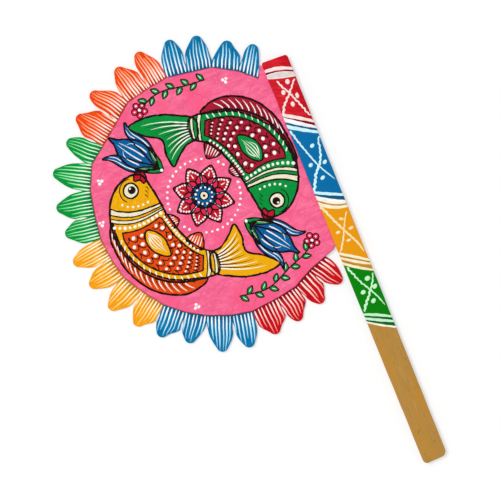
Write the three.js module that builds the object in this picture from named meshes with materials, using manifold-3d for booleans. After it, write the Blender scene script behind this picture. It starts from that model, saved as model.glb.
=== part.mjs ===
// Flag-type hand fan: a round blade of plaited bamboo splints with a ring of petals behind its edge,
// pegged in the split of a flat bamboo slat.
// Millimetres. +Z is the painted face, +Y runs to the handle's top end and the blade lies towards -X.

import * as THREE from "three";
import { mergeVertices } from "three/addons/utils/BufferGeometryUtils.js";
import Module from "manifold-3d";

const wasm = await Module();
wasm.setup();

// Clearance that neighbouring pieces keep
const FIT_GAP = 0.3;

// Handle slat, which narrows from its top end to the grip
const HANDLE_LENGTH = 400;
const HANDLE_WIDTH = 25.2;
const GRIP_WIDTH = 22.8;
const HANDLE_THICKNESS = 6;
const HANDLE_EDGE_ROUND = 0.7;
const GRIP_CORNER = 4;
const TOP_OUTER_CORNER = 2.6;
const TOP_INNER_CORNER = 1.6;
const TOP_SLANT = 0.8;

// Round blade. Its straight side is held in the handle, so the whole disc would run past the handle's
// near side, and past the mat's two corners there.
const BLADE_RADIUS = 113.5;
const BLADE_PAST_SIDE = 27.7;
const BLADE_PAST_TOP_CORNER = 20.6;
const BLADE_PAST_BOTTOM_CORNER = 22.8;

// Where the mat meets the handle's side, and how deep it sits in the split
const MAT_TOP_BELOW_END = 0.6;
const MAT_CORNER_OUTSIDE = 1.8;
const MAT_DEPTH_IN_SPLIT = 18.6;
const SPLIT_PAST_MAT = 7;

// Plait, laid on the diagonal to the handle
const PLAIT_ANGLE = 45;
const BLADE_SPLINT_COUNT = 14.1;
const SPLINT_SPACE = 1.4;
const SPLINT_THICKNESS = 0.5;
const SPLINT_LEAST = 3;

// Pegs, driven from the back through crossings of the plait and stopping inside the slat's front half
const PEG_COUNT = 3;
const PEG_EVERY = 3;
const PEG_RADIUS = 1.2;
const PEG_LENGTH = 4.7;
const PEG_FROM_SIDE = 11;
const PEG_SIDES = 16;

// Petals, numbered anticlockwise from the handle's top end
const FIRST_PETAL_ANGLE = 46.1;
const LAST_PETAL_ANGLE = 308.9;
const PETALS_PER_COLOUR = 4;
const PETAL_NECK = 12.4;
const PETAL_REACH = 31.4;
const PETAL_UNDER_MAT = 9.5;
const PETAL_THICKNESS = 0.6;
const PETAL_TIP_RADIUS = 5.4;
const PETAL_TIP_SPREAD = 60;
const PETAL_FULLNESS = 0.36;

// Hand-cut departures from the even ring.
// Each row is one line between two petals: swing in degrees, then mat edge and end of neck in mm.
const EDGE_CUTS = [
  [0.0, -0.8, -3.5],
  [-1.0, 0.5, -0.8],
  [0.5, 1.7, -5.9],
  [1.0, -1.0, 0.3],
  [0.3, 0.6, -0.4],
  [-1.0, -0.6, 1.6],
  [-0.3, 0.7, -1.1],
  [-0.9, -3.6, -0.6],
  [1.4, -3.5, 1.0],
  [0.5, 1.3, -5.1],
  [1.9, -0.2, -4.0],
  [2.8, -2.2, 1.7],
  [3.0, -1.1, -1.7],
  [2.3, -0.7, 0.3],
  [2.1, 0.6, -2.0],
  [2.4, -0.7, -1.2],
  [3.0, 0.2, 2.6],
  [2.7, 0.5, 3.0],
  [2.0, 0.8, -4.0],
  [2.5, 1.6, 1.9],
  [1.3, 2.5, 1.9],
  [2.8, 1.2, 4.2],
  [2.1, 2.6, 2.9],
  [0.8, 1.2, 4.0],
  [-0.8, 6.2, 2.5],
];

// Each row is one petal's tip: lean in degrees and extra reach in mm.
const TIP_CUTS = [
  [0.9, -3.1],
  [0.1, -4.1],
  [0.8, 0.6],
  [0.0, 1.8],
  [1.1, 2.2],
  [-0.4, 0.8],
  [1.6, 1.1],
  [0.9, -0.4],
  [-0.1, -1.4],
  [1.2, 4.3],
  [2.9, 0.9],
  [2.1, -2.4],
  [2.3, 0.5],
  [1.7, -1.0],
  [1.8, 0.1],
  [2.2, -1.7],
  [1.3, -2.0],
  [1.4, -3.2],
  [2.8, 3.3],
  [1.9, 3.0],
  [1.8, -0.8],
  [0.8, -1.0],
  [0.5, -0.5],
  [-0.4, 0.6],
];

// Paint and bare bamboo, as sRGB colours
const PETAL_COLOURS = [
  ["blue", 0x0073aa],
  ["orange", 0xf05014],
  ["green", 0x00963c],
  ["yellow", 0xfaa514],
  ["blue", 0x0073aa],
  ["red", 0xcd0a19],
];
const MAT_PINK = 0xf0528c;
const BAMBOO = 0xb88a44;

// Straight pieces that each curve is drawn with
const PETAL_CURVE_STEPS = 4;
const CORNER_STEPS = 4;
const EDGE_ROUND_STEPS = 2;

const QUARTER_TURN = 90;

// Values worked out from the sizes above
const HANDLE_TOP = HANDLE_LENGTH / 2;
const HANDLE_SIDE = -HANDLE_WIDTH / 2;
const MAT_TOP = HANDLE_TOP - MAT_TOP_BELOW_END;
const BLADE_CENTRE = new THREE.Vector2(
  HANDLE_SIDE + BLADE_PAST_SIDE - BLADE_RADIUS,
  MAT_TOP + BLADE_PAST_TOP_CORNER - BLADE_RADIUS,
);
const MAT_BOTTOM = BLADE_CENTRE.y - BLADE_RADIUS + BLADE_PAST_BOTTOM_CORNER;
const MAT_THICKNESS = 2 * SPLINT_THICKNESS + FIT_GAP;
const SPLINT_PITCH = (2 * BLADE_RADIUS) / BLADE_SPLINT_COUNT;
const SPLINT_WIDTH = SPLINT_PITCH - SPLINT_SPACE;
const SPLINT_RISE = (SPLINT_THICKNESS + FIT_GAP) / 2;
const ALONG_WEFT = direction(PLAIT_ANGLE);
const ALONG_WARP = direction(PLAIT_ANGLE + QUARTER_TURN);
const MIDDLE_CROSSING = new THREE.Vector2(HANDLE_SIDE + PEG_FROM_SIDE, (MAT_TOP + MAT_BOTTOM) / 2);
const PETAL_COUNT = PETALS_PER_COLOUR * PETAL_COLOURS.length;
const PETAL_BACK = -(MAT_THICKNESS / 2 + FIT_GAP + PETAL_THICKNESS);

function direction(degrees) {
  const angle = THREE.MathUtils.degToRad(degrees);
  return new THREE.Vector2(Math.cos(angle), Math.sin(angle));
}

function fromBladeCentre(radius, degrees) {
  return direction(degrees).multiplyScalar(radius).add(BLADE_CENTRE);
}

// Solids and meshes

function toSolid(geometry) {
  const plain = geometry.clone();
  plain.deleteAttribute("normal");
  plain.deleteAttribute("uv");
  const merged = mergeVertices(plain);
  const vertProperties = new Float32Array(merged.attributes.position.array);
  const triVerts = new Uint32Array(merged.index.array);
  return new wasm.Manifold(new wasm.Mesh({ numProp: 3, vertProperties, triVerts }));
}

function toGeometry(solid) {
  const { vertProperties, triVerts } = solid.getMesh();
  const geometry = new THREE.BufferGeometry();
  geometry.setAttribute("position", new THREE.BufferAttribute(vertProperties, 3));
  geometry.setIndex(new THREE.BufferAttribute(triVerts, 1));
  geometry.computeVertexNormals();
  return geometry;
}

function largestBody(solid) {
  const bodies = solid.decompose();
  bodies.sort((a, b) => b.volume() - a.volume());
  return bodies[0];
}

function namedMesh(name, geometry, color, roughness) {
  const finish = new THREE.MeshStandardMaterial({ color, roughness, metalness: 0 });
  const mesh = new THREE.Mesh(geometry, finish);
  mesh.name = name;
  return mesh;
}

// Prism of a flat outline, with its height centred on z = 0
function centredPrism(shape, height, curveSegments) {
  const prism = new THREE.ExtrudeGeometry(shape, { depth: height, bevelEnabled: false, curveSegments });
  return prism.translate(0, 0, -height / 2);
}

// Closed outline whose corners are rounded, each by its own distance
function roundedOutline(corners) {
  const shape = new THREE.Shape();
  corners.forEach(({ point, round }, index) => {
    const before = corners[(index + corners.length - 1) % corners.length].point;
    const after = corners[(index + 1) % corners.length].point;
    const start = point.clone().add(before.clone().sub(point).setLength(round));
    const end = point.clone().add(after.clone().sub(point).setLength(round));
    if (index === 0) {
      shape.moveTo(start.x, start.y);
    } else {
      shape.lineTo(start.x, start.y);
    }
    shape.quadraticCurveTo(point.x, point.y, end.x, end.y);
  });
  shape.closePath();
  return shape;
}

// Ring of petals

function evenAngle(steps) {
  return FIRST_PETAL_ANGLE + (steps * (LAST_PETAL_ANGLE - FIRST_PETAL_ANGLE)) / PETAL_COUNT;
}

// Line between two petals: its angle, and the radii of the mat's edge and of the necks' end
function petalEdge(index) {
  const [swing, mat, neck] = EDGE_CUTS[index % EDGE_CUTS.length];
  return {
    angle: evenAngle(index) + swing,
    matRadius: BLADE_RADIUS + mat,
    neckRadius: BLADE_RADIUS + PETAL_NECK + neck,
  };
}

function petalTip(index) {
  const [lean, reach] = TIP_CUTS[index % TIP_CUTS.length];
  return { angle: evenAngle(index + 0.5) + lean, radius: BLADE_RADIUS + PETAL_REACH + reach };
}

// One side of a petal: where it starts under the mat, where its neck ends and which way it runs.
// The side stands half a gap off the line between two petals, towards its own petal.
function petalSide(edge, towards) {
  const inset = direction(edge.angle + QUARTER_TURN * towards).multiplyScalar(FIT_GAP / 2);
  return {
    base: fromBladeCentre(BLADE_RADIUS - PETAL_UNDER_MAT, edge.angle).add(inset),
    shoulder: fromBladeCentre(edge.neckRadius, edge.angle).add(inset),
    outward: direction(edge.angle),
  };
}

// Up one side, round the tip and back down the other, with full curves from neck to tip
function petalOutline(index) {
  const tip = petalTip(index);
  const right = petalSide(petalEdge(index), 1);
  const left = petalSide(petalEdge(index + 1), -1);
  const tipCentre = fromBladeCentre(tip.radius - PETAL_TIP_RADIUS, tip.angle);
  const tipStart = tip.angle - PETAL_TIP_SPREAD;
  const tipEnd = tip.angle + PETAL_TIP_SPREAD;
  const enter = direction(tipStart).multiplyScalar(PETAL_TIP_RADIUS).add(tipCentre);
  const leave = direction(tipEnd).multiplyScalar(PETAL_TIP_RADIUS).add(tipCentre);
  const reachIn = enter.distanceTo(right.shoulder) * PETAL_FULLNESS;
  const reachOut = leave.distanceTo(left.shoulder) * PETAL_FULLNESS;
  const a = right.shoulder.clone().addScaledVector(right.outward, reachIn);
  const b = enter.clone().addScaledVector(direction(tipStart + QUARTER_TURN), -reachIn);
  const c = leave.clone().addScaledVector(direction(tipEnd + QUARTER_TURN), reachOut);
  const d = left.shoulder.clone().addScaledVector(left.outward, reachOut);
  const tipFrom = THREE.MathUtils.degToRad(tipStart);
  const tipTo = THREE.MathUtils.degToRad(tipEnd);

  const shape = new THREE.Shape();
  shape.moveTo(right.base.x, right.base.y);
  shape.lineTo(right.shoulder.x, right.shoulder.y);
  shape.bezierCurveTo(a.x, a.y, b.x, b.y, enter.x, enter.y);
  shape.absarc(tipCentre.x, tipCentre.y, PETAL_TIP_RADIUS, tipFrom, tipTo, false);
  shape.bezierCurveTo(c.x, c.y, d.x, d.y, left.shoulder.x, left.shoulder.y);
  shape.lineTo(left.base.x, left.base.y);
  shape.closePath();
  return shape;
}

// A petal is trimmed where it would meet the handle, which only the first one does.
function petalMesh(index, aroundHandle) {
  const [colourName, colour] = PETAL_COLOURS[Math.floor(index / PETALS_PER_COLOUR)];
  const blank = centredPrism(petalOutline(index), PETAL_THICKNESS, PETAL_CURVE_STEPS);
  const petal = toSolid(blank).subtract(aroundHandle);
  const number = String(index + 1).padStart(2, "0");
  const mesh = namedMesh(`petal_${number}_${colourName}`, toGeometry(petal), colour, 0.5);
  mesh.position.z = PETAL_BACK + PETAL_THICKNESS / 2;
  return mesh;
}

// Plaited mat

// Outline of the mat: round the petals' edges, then into the split with both corners cut along the plait
function matOutline() {
  const inner = HANDLE_SIDE + MAT_DEPTH_IN_SPLIT;
  const outer = HANDLE_SIDE - MAT_CORNER_OUTSIDE;
  const cut = (corner, along) => corner.clone().addScaledVector(along, (inner - corner.x) / along.x);
  const top = new THREE.Vector2(outer, MAT_TOP);
  const bottom = new THREE.Vector2(outer, MAT_BOTTOM);
  const rim = [];
  for (let index = 0; index <= PETAL_COUNT; index += 1) {
    const edge = petalEdge(index);
    rim.push(fromBladeCentre(edge.matRadius, edge.angle));
  }
  return [top, ...rim, bottom, cut(bottom, ALONG_WEFT), cut(top, ALONG_WARP)];
}

// Splints that lie side by side, numbered both ways from the one through the middle crossing.
// A splint of which the outline would leave too narrow a strip is left out.
function splintLines(outline, across) {
  const places = outline.map((point) => point.dot(across));
  const spare = SPLINT_WIDTH / 2 - SPLINT_LEAST;
  const middle = MIDDLE_CROSSING.dot(across);
  const lowest = Math.ceil((Math.min(...places) - spare - middle) / SPLINT_PITCH);
  const highest = Math.floor((Math.max(...places) + spare - middle) / SPLINT_PITCH);
  const lines = [];
  for (let step = lowest; step <= highest; step += 1) {
    lines.push({ step, place: middle + step * SPLINT_PITCH });
  }
  return lines;
}

function splintName(family, step) {
  if (step === 0) {
    return `mat_${family}_middle`;
  }
  return `mat_${family}_${step > 0 ? "upper" : "lower"}_${Math.abs(step)}`;
}

// Side view of a splint: flat over and under each crossing, with a short slant between
function splintProfile(crossings) {
  const half = new THREE.Vector2(0, SPLINT_THICKNESS / 2);
  const middle = crossings.flatMap(({ place, over }) => {
    const height = over ? SPLINT_RISE : -SPLINT_RISE;
    return [
      new THREE.Vector2(place - SPLINT_WIDTH / 2, height),
      new THREE.Vector2(place + SPLINT_WIDTH / 2, height),
    ];
  });
  const back = middle.map((point) => point.clone().sub(half));
  const front = middle.map((point) => point.clone().add(half));
  return new THREE.Shape([...back, ...front.reverse()]);
}

// A splint that runs one way through the plait, trimmed to the mat's outline and holed for the pegs
function splintGeometry(place, along, across, crossings, matBlank, pegHoles) {
  const strip = centredPrism(splintProfile(crossings), SPLINT_WIDTH, 1);
  const toMat = new THREE.Matrix4().makeBasis(
    new THREE.Vector3(along.x, along.y, 0),
    new THREE.Vector3(0, 0, 1),
    new THREE.Vector3(along.y, -along.x, 0),
  );
  toMat.setPosition(across.x * place, across.y * place, 0);
  const trimmed = toSolid(strip.applyMatrix4(toMat)).intersect(matBlank).subtract(pegHoles);
  return toGeometry(largestBody(trimmed));
}

// All splints of one family. Warp lies over weft wherever the sum of their steps is even.
function splintMeshes(family, lines, otherLines, along, across, matBlank, pegHoles) {
  return lines.map(({ step, place }) => {
    const crossings = otherLines.map((other) => {
      const warpOver = Math.abs(step + other.step) % 2 === 0;
      return { place: other.place, over: family === "warp" ? warpOver : !warpOver };
    });
    const geometry = splintGeometry(place, along, across, crossings, matBlank, pegHoles);
    return namedMesh(splintName(family, step), geometry, MAT_PINK, 0.6);
  });
}

function matMeshes(pegHoles) {
  const outline = matOutline();
  const matBlank = toSolid(centredPrism(new THREE.Shape(outline), 2 * MAT_THICKNESS, 1));
  const warp = splintLines(outline, ALONG_WEFT);
  const weft = splintLines(outline, ALONG_WARP);
  return [
    ...splintMeshes("warp", warp, weft, ALONG_WARP, ALONG_WEFT, matBlank, pegHoles),
    ...splintMeshes("weft", weft, warp, ALONG_WEFT, ALONG_WARP, matBlank, pegHoles),
  ];
}

// Handle and pegs

// The outline is drawn inside the slat's edges by the edge round, which the bevel then adds back.
function slatBlank() {
  const inset = HANDLE_EDGE_ROUND;
  const side = HANDLE_WIDTH / 2 - inset;
  const gripSide = GRIP_WIDTH / 2 - inset;
  const end = HANDLE_TOP - inset;
  const outline = roundedOutline([
    { point: new THREE.Vector2(-gripSide, -end), round: GRIP_CORNER - inset },
    { point: new THREE.Vector2(gripSide, -end), round: GRIP_CORNER - inset },
    { point: new THREE.Vector2(side, end - TOP_SLANT), round: TOP_OUTER_CORNER - inset },
    { point: new THREE.Vector2(-side, end), round: TOP_INNER_CORNER - inset },
  ]);
  const blank = new THREE.ExtrudeGeometry(outline, {
    depth: HANDLE_THICKNESS - 2 * inset,
    bevelThickness: inset,
    bevelSize: inset,
    bevelSegments: EDGE_ROUND_STEPS,
    curveSegments: CORNER_STEPS,
  });
  return blank.translate(0, 0, inset);
}

// The split is open at the slat's top end and at both its sides, and follows the blade's droop.
function splitCutter(bladeFrame) {
  const root = MAT_BOTTOM - SPLIT_PAST_MAT;
  const past = HANDLE_TOP + HANDLE_WIDTH;
  const cutter = new THREE.BoxGeometry(2 * HANDLE_WIDTH, past - root, MAT_THICKNESS + 2 * FIT_GAP);
  cutter.translate(0, (past + root) / 2, 0);
  return cutter.applyMatrix4(bladeFrame);
}

// Each peg goes through a crossing of the plait, a set number of crossings from the next peg.
function pegPlaces() {
  const toNextCrossing = ALONG_WEFT.clone().add(ALONG_WARP).multiplyScalar(SPLINT_PITCH);
  const places = [];
  for (let index = 0; index < PEG_COUNT; index += 1) {
    const crossings = (index - Math.floor(PEG_COUNT / 2)) * PEG_EVERY;
    places.push(MIDDLE_CROSSING.clone().addScaledVector(toNextCrossing, crossings));
  }
  return places;
}

function uprightCylinder(radius, bottom, top) {
  const cylinder = new THREE.CylinderGeometry(radius, radius, top - bottom, PEG_SIDES);
  return cylinder.rotateX(Math.PI / 2).translate(0, 0, (bottom + top) / 2);
}

// Clearance holes for all the pegs, from one height to another
function pegHoleSolid(bottom, top) {
  const holes = pegPlaces().map((place) => {
    const hole = uprightCylinder(PEG_RADIUS + FIT_GAP, bottom, top);
    return toSolid(hole.translate(place.x, place.y, 0));
  });
  return wasm.Manifold.union(holes);
}

function handleMesh(bladeFrame) {
  const split = toSolid(slatBlank()).subtract(toSolid(splitCutter(bladeFrame)));
  const slat = split.subtract(pegHoleSolid(-HANDLE_THICKNESS, PEG_LENGTH + FIT_GAP));
  return namedMesh("handle", toGeometry(slat), BAMBOO, 0.55);
}

function pegMeshes() {
  return pegPlaces().map((place, index) => {
    const peg = namedMesh(`peg_${index + 1}`, uprightCylinder(PEG_RADIUS, 0, PEG_LENGTH), BAMBOO, 0.6);
    peg.position.set(place.x, place.y, 0);
    return peg;
  });
}

// Whole fan

// The blade hangs from the middle of the slat's thickness and droops until its far petals reach the
// surface that the fan lies on.
function bladeDroop() {
  let farthest = 0;
  for (let index = 0; index < PETAL_COUNT; index += 1) {
    const points = petalOutline(index).getPoints(PETAL_CURVE_STEPS);
    farthest = Math.min(farthest, ...points.map((point) => point.x));
  }
  return Math.asin((HANDLE_THICKNESS / 2 + PETAL_BACK) / farthest);
}

function wholeFan() {
  const blade = new THREE.Group();
  blade.position.z = HANDLE_THICKNESS / 2;
  blade.rotation.y = bladeDroop();
  blade.updateMatrix();

  const aroundHandle = new THREE.BoxGeometry(
    HANDLE_WIDTH + 2 * FIT_GAP,
    HANDLE_LENGTH + 2 * FIT_GAP,
    HANDLE_THICKNESS + 2 * FIT_GAP,
  );
  const keepClear = toSolid(aroundHandle);
  const pegHoles = pegHoleSolid(-HANDLE_THICKNESS, HANDLE_THICKNESS);
  blade.add(...matMeshes(pegHoles));
  for (let index = 0; index < PETAL_COUNT; index += 1) {
    blade.add(petalMesh(index, keepClear));
  }

  const assembly = new THREE.Group();
  assembly.add(handleMesh(blade.matrix), ...pegMeshes(), blade);
  return assembly;
}

// The origin is the middle of the fan's bounding box, on the surface that it lies on.
const assembly = wholeFan();
const box = new THREE.Box3().setFromObject(assembly, true);
const middle = box.getCenter(new THREE.Vector3());
assembly.position.set(-middle.x, -middle.y, -box.min.z);

const fan = new THREE.Group();
fan.name = "bamboo_hand_fan";
fan.add(assembly);

export default fan;
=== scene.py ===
"""Painted bamboo hand fan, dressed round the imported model. Sizes in this file are in millimetres."""
import math

import bmesh
import bpy
import numpy as np
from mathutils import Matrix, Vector
from mathutils.geometry import delaunay_2d_cdt


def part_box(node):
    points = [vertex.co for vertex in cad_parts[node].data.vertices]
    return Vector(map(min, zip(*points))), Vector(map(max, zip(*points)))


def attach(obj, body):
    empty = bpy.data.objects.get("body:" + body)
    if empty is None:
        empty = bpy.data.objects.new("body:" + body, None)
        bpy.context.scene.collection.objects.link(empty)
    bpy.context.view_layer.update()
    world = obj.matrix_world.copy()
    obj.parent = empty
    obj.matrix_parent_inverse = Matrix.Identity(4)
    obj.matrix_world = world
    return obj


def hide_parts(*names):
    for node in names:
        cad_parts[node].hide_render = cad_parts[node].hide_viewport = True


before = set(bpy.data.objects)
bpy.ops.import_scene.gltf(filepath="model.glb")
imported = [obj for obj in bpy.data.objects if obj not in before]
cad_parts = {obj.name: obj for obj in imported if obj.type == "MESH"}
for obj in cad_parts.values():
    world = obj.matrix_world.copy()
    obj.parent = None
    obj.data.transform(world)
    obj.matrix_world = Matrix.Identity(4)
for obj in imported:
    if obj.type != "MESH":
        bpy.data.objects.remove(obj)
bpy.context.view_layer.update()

MM = 0.001
SEED = 4

# Photograph: where the camera stands from the handle's top end, how it is turned and how much it sees
VIEW_FROM_HANDLE = (-86.8, -156.05)
VIEW_TURN = -22.0
VIEW_SPAN = 462.5
VIEW_HEIGHT = 1600.0
SENSOR = 36.0

# Light and floor
SKY_STRENGTH = 0.6
SUN_STRENGTH = 1.7
SUN_ANGLE = 24.0
SUN_TOWARDS = (-0.55, 0.62, 1.3)
FLOOR_HALF = 6000.0
FLOOR_DEPTH = 0.3
FLOOR_TONE = 0.97
FLOOR_GLOW = 0.5

# Paint and bare bamboo, as sRGB from 0 to 255
PINK = (246, 104, 142)
PINK_TONES = ((234, 94, 138), (252, 115, 154), (255, 130, 160), (246, 88, 132))
# Darker pink, for painted shade in the plait's creases and for the mat's edge, which is partly a darker line
# of paint and partly painted shade
DARK_PINK_LINE_AND_SHADE = (150, 44, 72)
BAMBOO = (185, 136, 60)
BAMBOO_TONES = ((188, 133, 42), (170, 135, 74))
INK = (28, 10, 12)
WHITE = (255, 253, 247)
# Each petal colour has its paint, its strokes' paint where they start and further out, how far apart the
# strokes are and how wide.
PETAL_COLOURS = {
    "blue": ((0, 118, 172), (246, 253, 255), (176, 226, 244), 3.3, 1.7),
    "orange": ((248, 74, 8), (255, 242, 232), (255, 182, 144), 2.85, 1.85),
    "green": ((0, 154, 60), (224, 255, 230), (156, 238, 172), 3.1, 1.65),
    "yellow": ((254, 165, 18), (255, 247, 210), (255, 222, 140), 3.0, 1.8),
    "red": ((204, 8, 22), (255, 234, 228), (255, 178, 170), 3.5, 1.95),
}

# Scales of noise in the materials, in features a metre along each of its axes
FIBRES = (4200.0, 55.0, 2200.0)
FIBRE_BANDS = (420.0, 12.0, 300.0)
FLECKS = (1500.0, 150.0, 1500.0)
BAMBOO_AGEING = (75.0, 18.0, 75.0)
BRISTLES = (2600.0, 160.0, 900.0)
PATCHES = (120.0, 120.0, 120.0)
SLAT_BRISTLES = (1500.0, 110.0, 900.0)
SLAT_PATCHES = (210.0, 60.0, 200.0)
RAGGED = (700.0, 700.0, 700.0)
PETAL_BRISTLES = (1900.0, 90.0, 0.0)
PETAL_PATCHES = (160.0, 160.0, 160.0)
STROKE_BRISTLES = (2600.0, 120.0, 0.0)
PINK_BROAD = (70.0, 260.0, 100.0)
PINK_SPOTS = (330.0, 420.0, 300.0)
PINK_FINE = (1500.0, 700.0, 900.0)
PINK_SLOW = (44.0, 18.0, 40.0)


# Frame of the fan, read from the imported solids

def node_points(name):
    """A node's vertices in millimetres."""
    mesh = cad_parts[name].data
    points = np.empty(len(mesh.vertices) * 3)
    mesh.vertices.foreach_get("co", points)
    return points.reshape(-1, 3) / MM


def node_edges(name):
    """A node's edges seen from above, as start and end points."""
    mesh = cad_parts[name].data
    ends = np.empty(len(mesh.edges) * 2, dtype=int)
    mesh.edges.foreach_get("vertices", ends)
    return node_points(name)[:, :2][ends.reshape(-1, 2)]


def unit(degrees):
    """Unit vectors in directions given in degrees."""
    angle = np.radians(degrees)
    return np.stack([np.cos(angle), np.sin(angle)], axis=-1)


def left_of(run):
    """Unit vectors that point to the left of directions in the plan."""
    turned = np.stack([-run[..., 1], run[..., 0]], axis=-1)
    return turned / np.linalg.norm(run, axis=-1, keepdims=True)


MAT_NODES, PETAL_NODES, PEG_NODES = (
    sorted(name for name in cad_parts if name.startswith(start)) for start in ("mat_", "petal_", "peg_")
)

handle_low, handle_high = (np.array(corner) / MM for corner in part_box("handle"))
HANDLE_X = (handle_low[0] + handle_high[0]) / 2
HANDLE_TOP = handle_high[1]
HANDLE_BOTTOM = handle_low[1]
HANDLE_HALF = (handle_high[0] - handle_low[0]) / 2
HANDLE_THICK = handle_high[2]
HANDLE_SIDE = handle_low[0]
GRIP_END = 12
handle_points = node_points("handle")
grip_points = handle_points[handle_points[:, 1] < HANDLE_BOTTOM + GRIP_END]
GRIP_HALF = np.abs(grip_points[:, 0] - HANDLE_X).max()

# Middle plane of the blade: its height is BLADE_Z + BLADE_SLOPE * x.
mat_points = np.vstack([node_points(name) for name in MAT_NODES])
BLADE_SLOPE, BLADE_Z = np.polyfit(mat_points[:, 0], mat_points[:, 2], 1)

# The pegs stand three crossings of the plait apart, the middle one at its middle crossing.
PEG_CROSSINGS = 3
peg_centres = np.array([node_points(name).mean(axis=0)[:2] for name in PEG_NODES])
MIDDLE_CROSSING = peg_centres[1]
PITCH = np.linalg.norm(peg_centres[2] - peg_centres[0]) / (2 * PEG_CROSSINGS * math.sqrt(2))
ALONG_WEFT, ALONG_WARP = unit(45.0), unit(135.0)
SPLINT_THICK = 0.5
SPLINT_RISE = 0.4


def blade_z(x, height):
    """Height above the floor of a point that is so high above the blade's middle plane."""
    return BLADE_Z + BLADE_SLOPE * x + height


def blade_centre():
    """Centre of the circle that runs nearest to the petals' corners under the mat, two for each petal."""
    rough = mat_points[:, :2].mean(axis=0)
    corners = []
    for name in PETAL_NODES:
        plan = np.unique(node_points(name)[:, :2].round(2), axis=0)
        corners.extend(plan[np.argsort(np.linalg.norm(plan - rough, axis=1))[:2]])
    corners = np.array(corners)
    table = np.column_stack([2 * corners, np.ones(len(corners))])
    return np.linalg.lstsq(table, (corners ** 2).sum(axis=1), rcond=None)[0][:2]


CENTRE = blade_centre()


def polar(radius, degrees):
    """Points at that distance and direction from the blade's centre."""
    return CENTRE + unit(degrees) * np.asarray(radius)[..., None]


def to_polar(plan):
    """Distances and directions in degrees of points from the blade's centre."""
    rel = plan - CENTRE
    return np.linalg.norm(rel, axis=-1), np.degrees(np.arctan2(rel[..., 1], rel[..., 0]))


def line_hits(edges, along, across, offset):
    """Distances along a line at which it crosses the edges. Its offset is measured across it."""
    near, far = edges[:, 0] @ across, edges[:, 1] @ across
    hit = (np.minimum(near, far) <= offset) & (np.maximum(near, far) >= offset)
    hit &= np.abs(far - near) > 1e-6
    start, end = edges[hit, 0] @ along, edges[hit, 1] @ along
    return start + (offset - near[hit]) / (far[hit] - near[hit]) * (end - start)


# Distance and direction of the first petal's foot, which ends the rim beside the handle. There the mat has
# a corner that points up along the handle: how far it lies outside the handle's side and below its end, in
# which directions from the centre, and which directions of the rim it covers past the foot.
FIRST_PETAL = (112.9, 46.1)
MAT_CORNER = (2.0, 0.65)
CORNER_SPAN = (40.0, 54.0)
CORNER_COVERS = (-0.5, 2.2)
RIM_STEPS = 720
SLIT_STEPS = range(-4, 5)


def rim_radii():
    """Distance from the blade's centre to the mat's outermost edge, in evenly spaced directions."""
    edges = np.vstack([node_edges(name) for name in MAT_NODES]) - CENTRE
    degrees = np.arange(RIM_STEPS) * 360.0 / RIM_STEPS
    radii = [line_hits(edges, unit(angle), unit(angle + 90), 0.0).max() for angle in degrees]
    # Slits between the splints are bridged.
    widest = np.max([np.roll(radii, shift) for shift in SLIT_STEPS], axis=0)
    bridged = np.min([np.roll(widest, shift) for shift in SLIT_STEPS], axis=0)
    past = degrees - FIRST_PETAL[1]
    bridged[(past > CORNER_COVERS[0]) & (past < CORNER_COVERS[1])] = FIRST_PETAL[0]
    return bridged


RIM = rim_radii()


def rim_at(degrees):
    step = (np.asarray(degrees) % 360.0) * RIM_STEPS / 360.0
    return np.interp(step, np.arange(RIM_STEPS + 1), np.append(RIM, RIM[0]))


def outside(plan):
    """How far points lie outside the mat's edge, which the first petal's foot gives beside the handle."""
    distance, degrees = to_polar(plan)
    degrees = np.where((degrees > 0) & (degrees < FIRST_PETAL[1]), FIRST_PETAL[1], degrees)
    return distance - rim_at(degrees)


def corner_point():
    """Tip of the mat's upper corner beside the handle."""
    return np.array([HANDLE_SIDE - MAT_CORNER[0], HANDLE_TOP - MAT_CORNER[1]])


def inward(plan):
    """How far points lie inside the mat's edge, its upper corner included."""
    distance, degrees = to_polar(plan)
    depth = rim_at(degrees) - distance
    foot = polar(*FIRST_PETAL)
    aside = (foot - plan) @ left_of(corner_point() - foot)
    corner = (degrees > CORNER_SPAN[0]) & (degrees < CORNER_SPAN[1])
    return np.where(corner, np.maximum(depth, aside), depth)


# Meshes

class Build:
    """Collects vertices and faces, with a grain coordinate for every vertex, for one piece."""

    def __init__(self):
        self.points, self.grain, self.faces, self.kinds = [], [], [], []
        self.count = 0

    def add(self, points, faces, grain=None, kind=0):
        self.points.append(points)
        self.grain.append(points if grain is None else grain)
        self.faces.extend([tuple(int(k) + self.count for k in face) for face in faces])
        self.kinds.extend([kind] * len(faces))
        self.count += len(points)

    def loft(self, rings, grain=None, kind=0, ends=None):
        """A closed body through rings of points. Each end is one face, unless the ends' faces are given."""
        count, columns = rings.shape[:2]
        faces = []
        for first in range(0, (count - 1) * columns, columns):
            for k in range(columns):
                near, after = first + k, first + (k + 1) % columns
                faces.append((near, after, after + columns, near + columns))
        last = (count - 1) * columns
        faces += ends or [range(columns), range(last, last + columns)]
        self.add(rings.reshape(-1, 3), faces, None if grain is None else grain.reshape(-1, 3), kind)
        return self

    def mesh(self, smooth=True):
        mesh = bpy.data.meshes.new("piece")
        mesh.from_pydata((np.vstack(self.points) * MM).tolist(), [], self.faces)
        mesh.polygons.foreach_set("material_index", self.kinds)
        mesh.polygons.foreach_set("use_smooth", [smooth] * len(self.faces))
        grain = mesh.attributes.new("grain", "FLOAT_VECTOR", "POINT")
        grain.data.foreach_set("vector", (np.vstack(self.grain) * MM).astype(np.float32).ravel())
        mesh.validate()
        mesh.update()
        return mesh


def tidy_normals(mesh):
    """Turns every face of the closed bodies outwards."""
    work = bmesh.new()
    work.from_mesh(mesh)
    bmesh.ops.recalc_face_normals(work, faces=work.faces)
    work.to_mesh(mesh)
    work.free()


def new_object(name, data):
    made = bpy.data.objects.new(name, data)
    bpy.context.scene.collection.objects.link(made)
    return made


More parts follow.
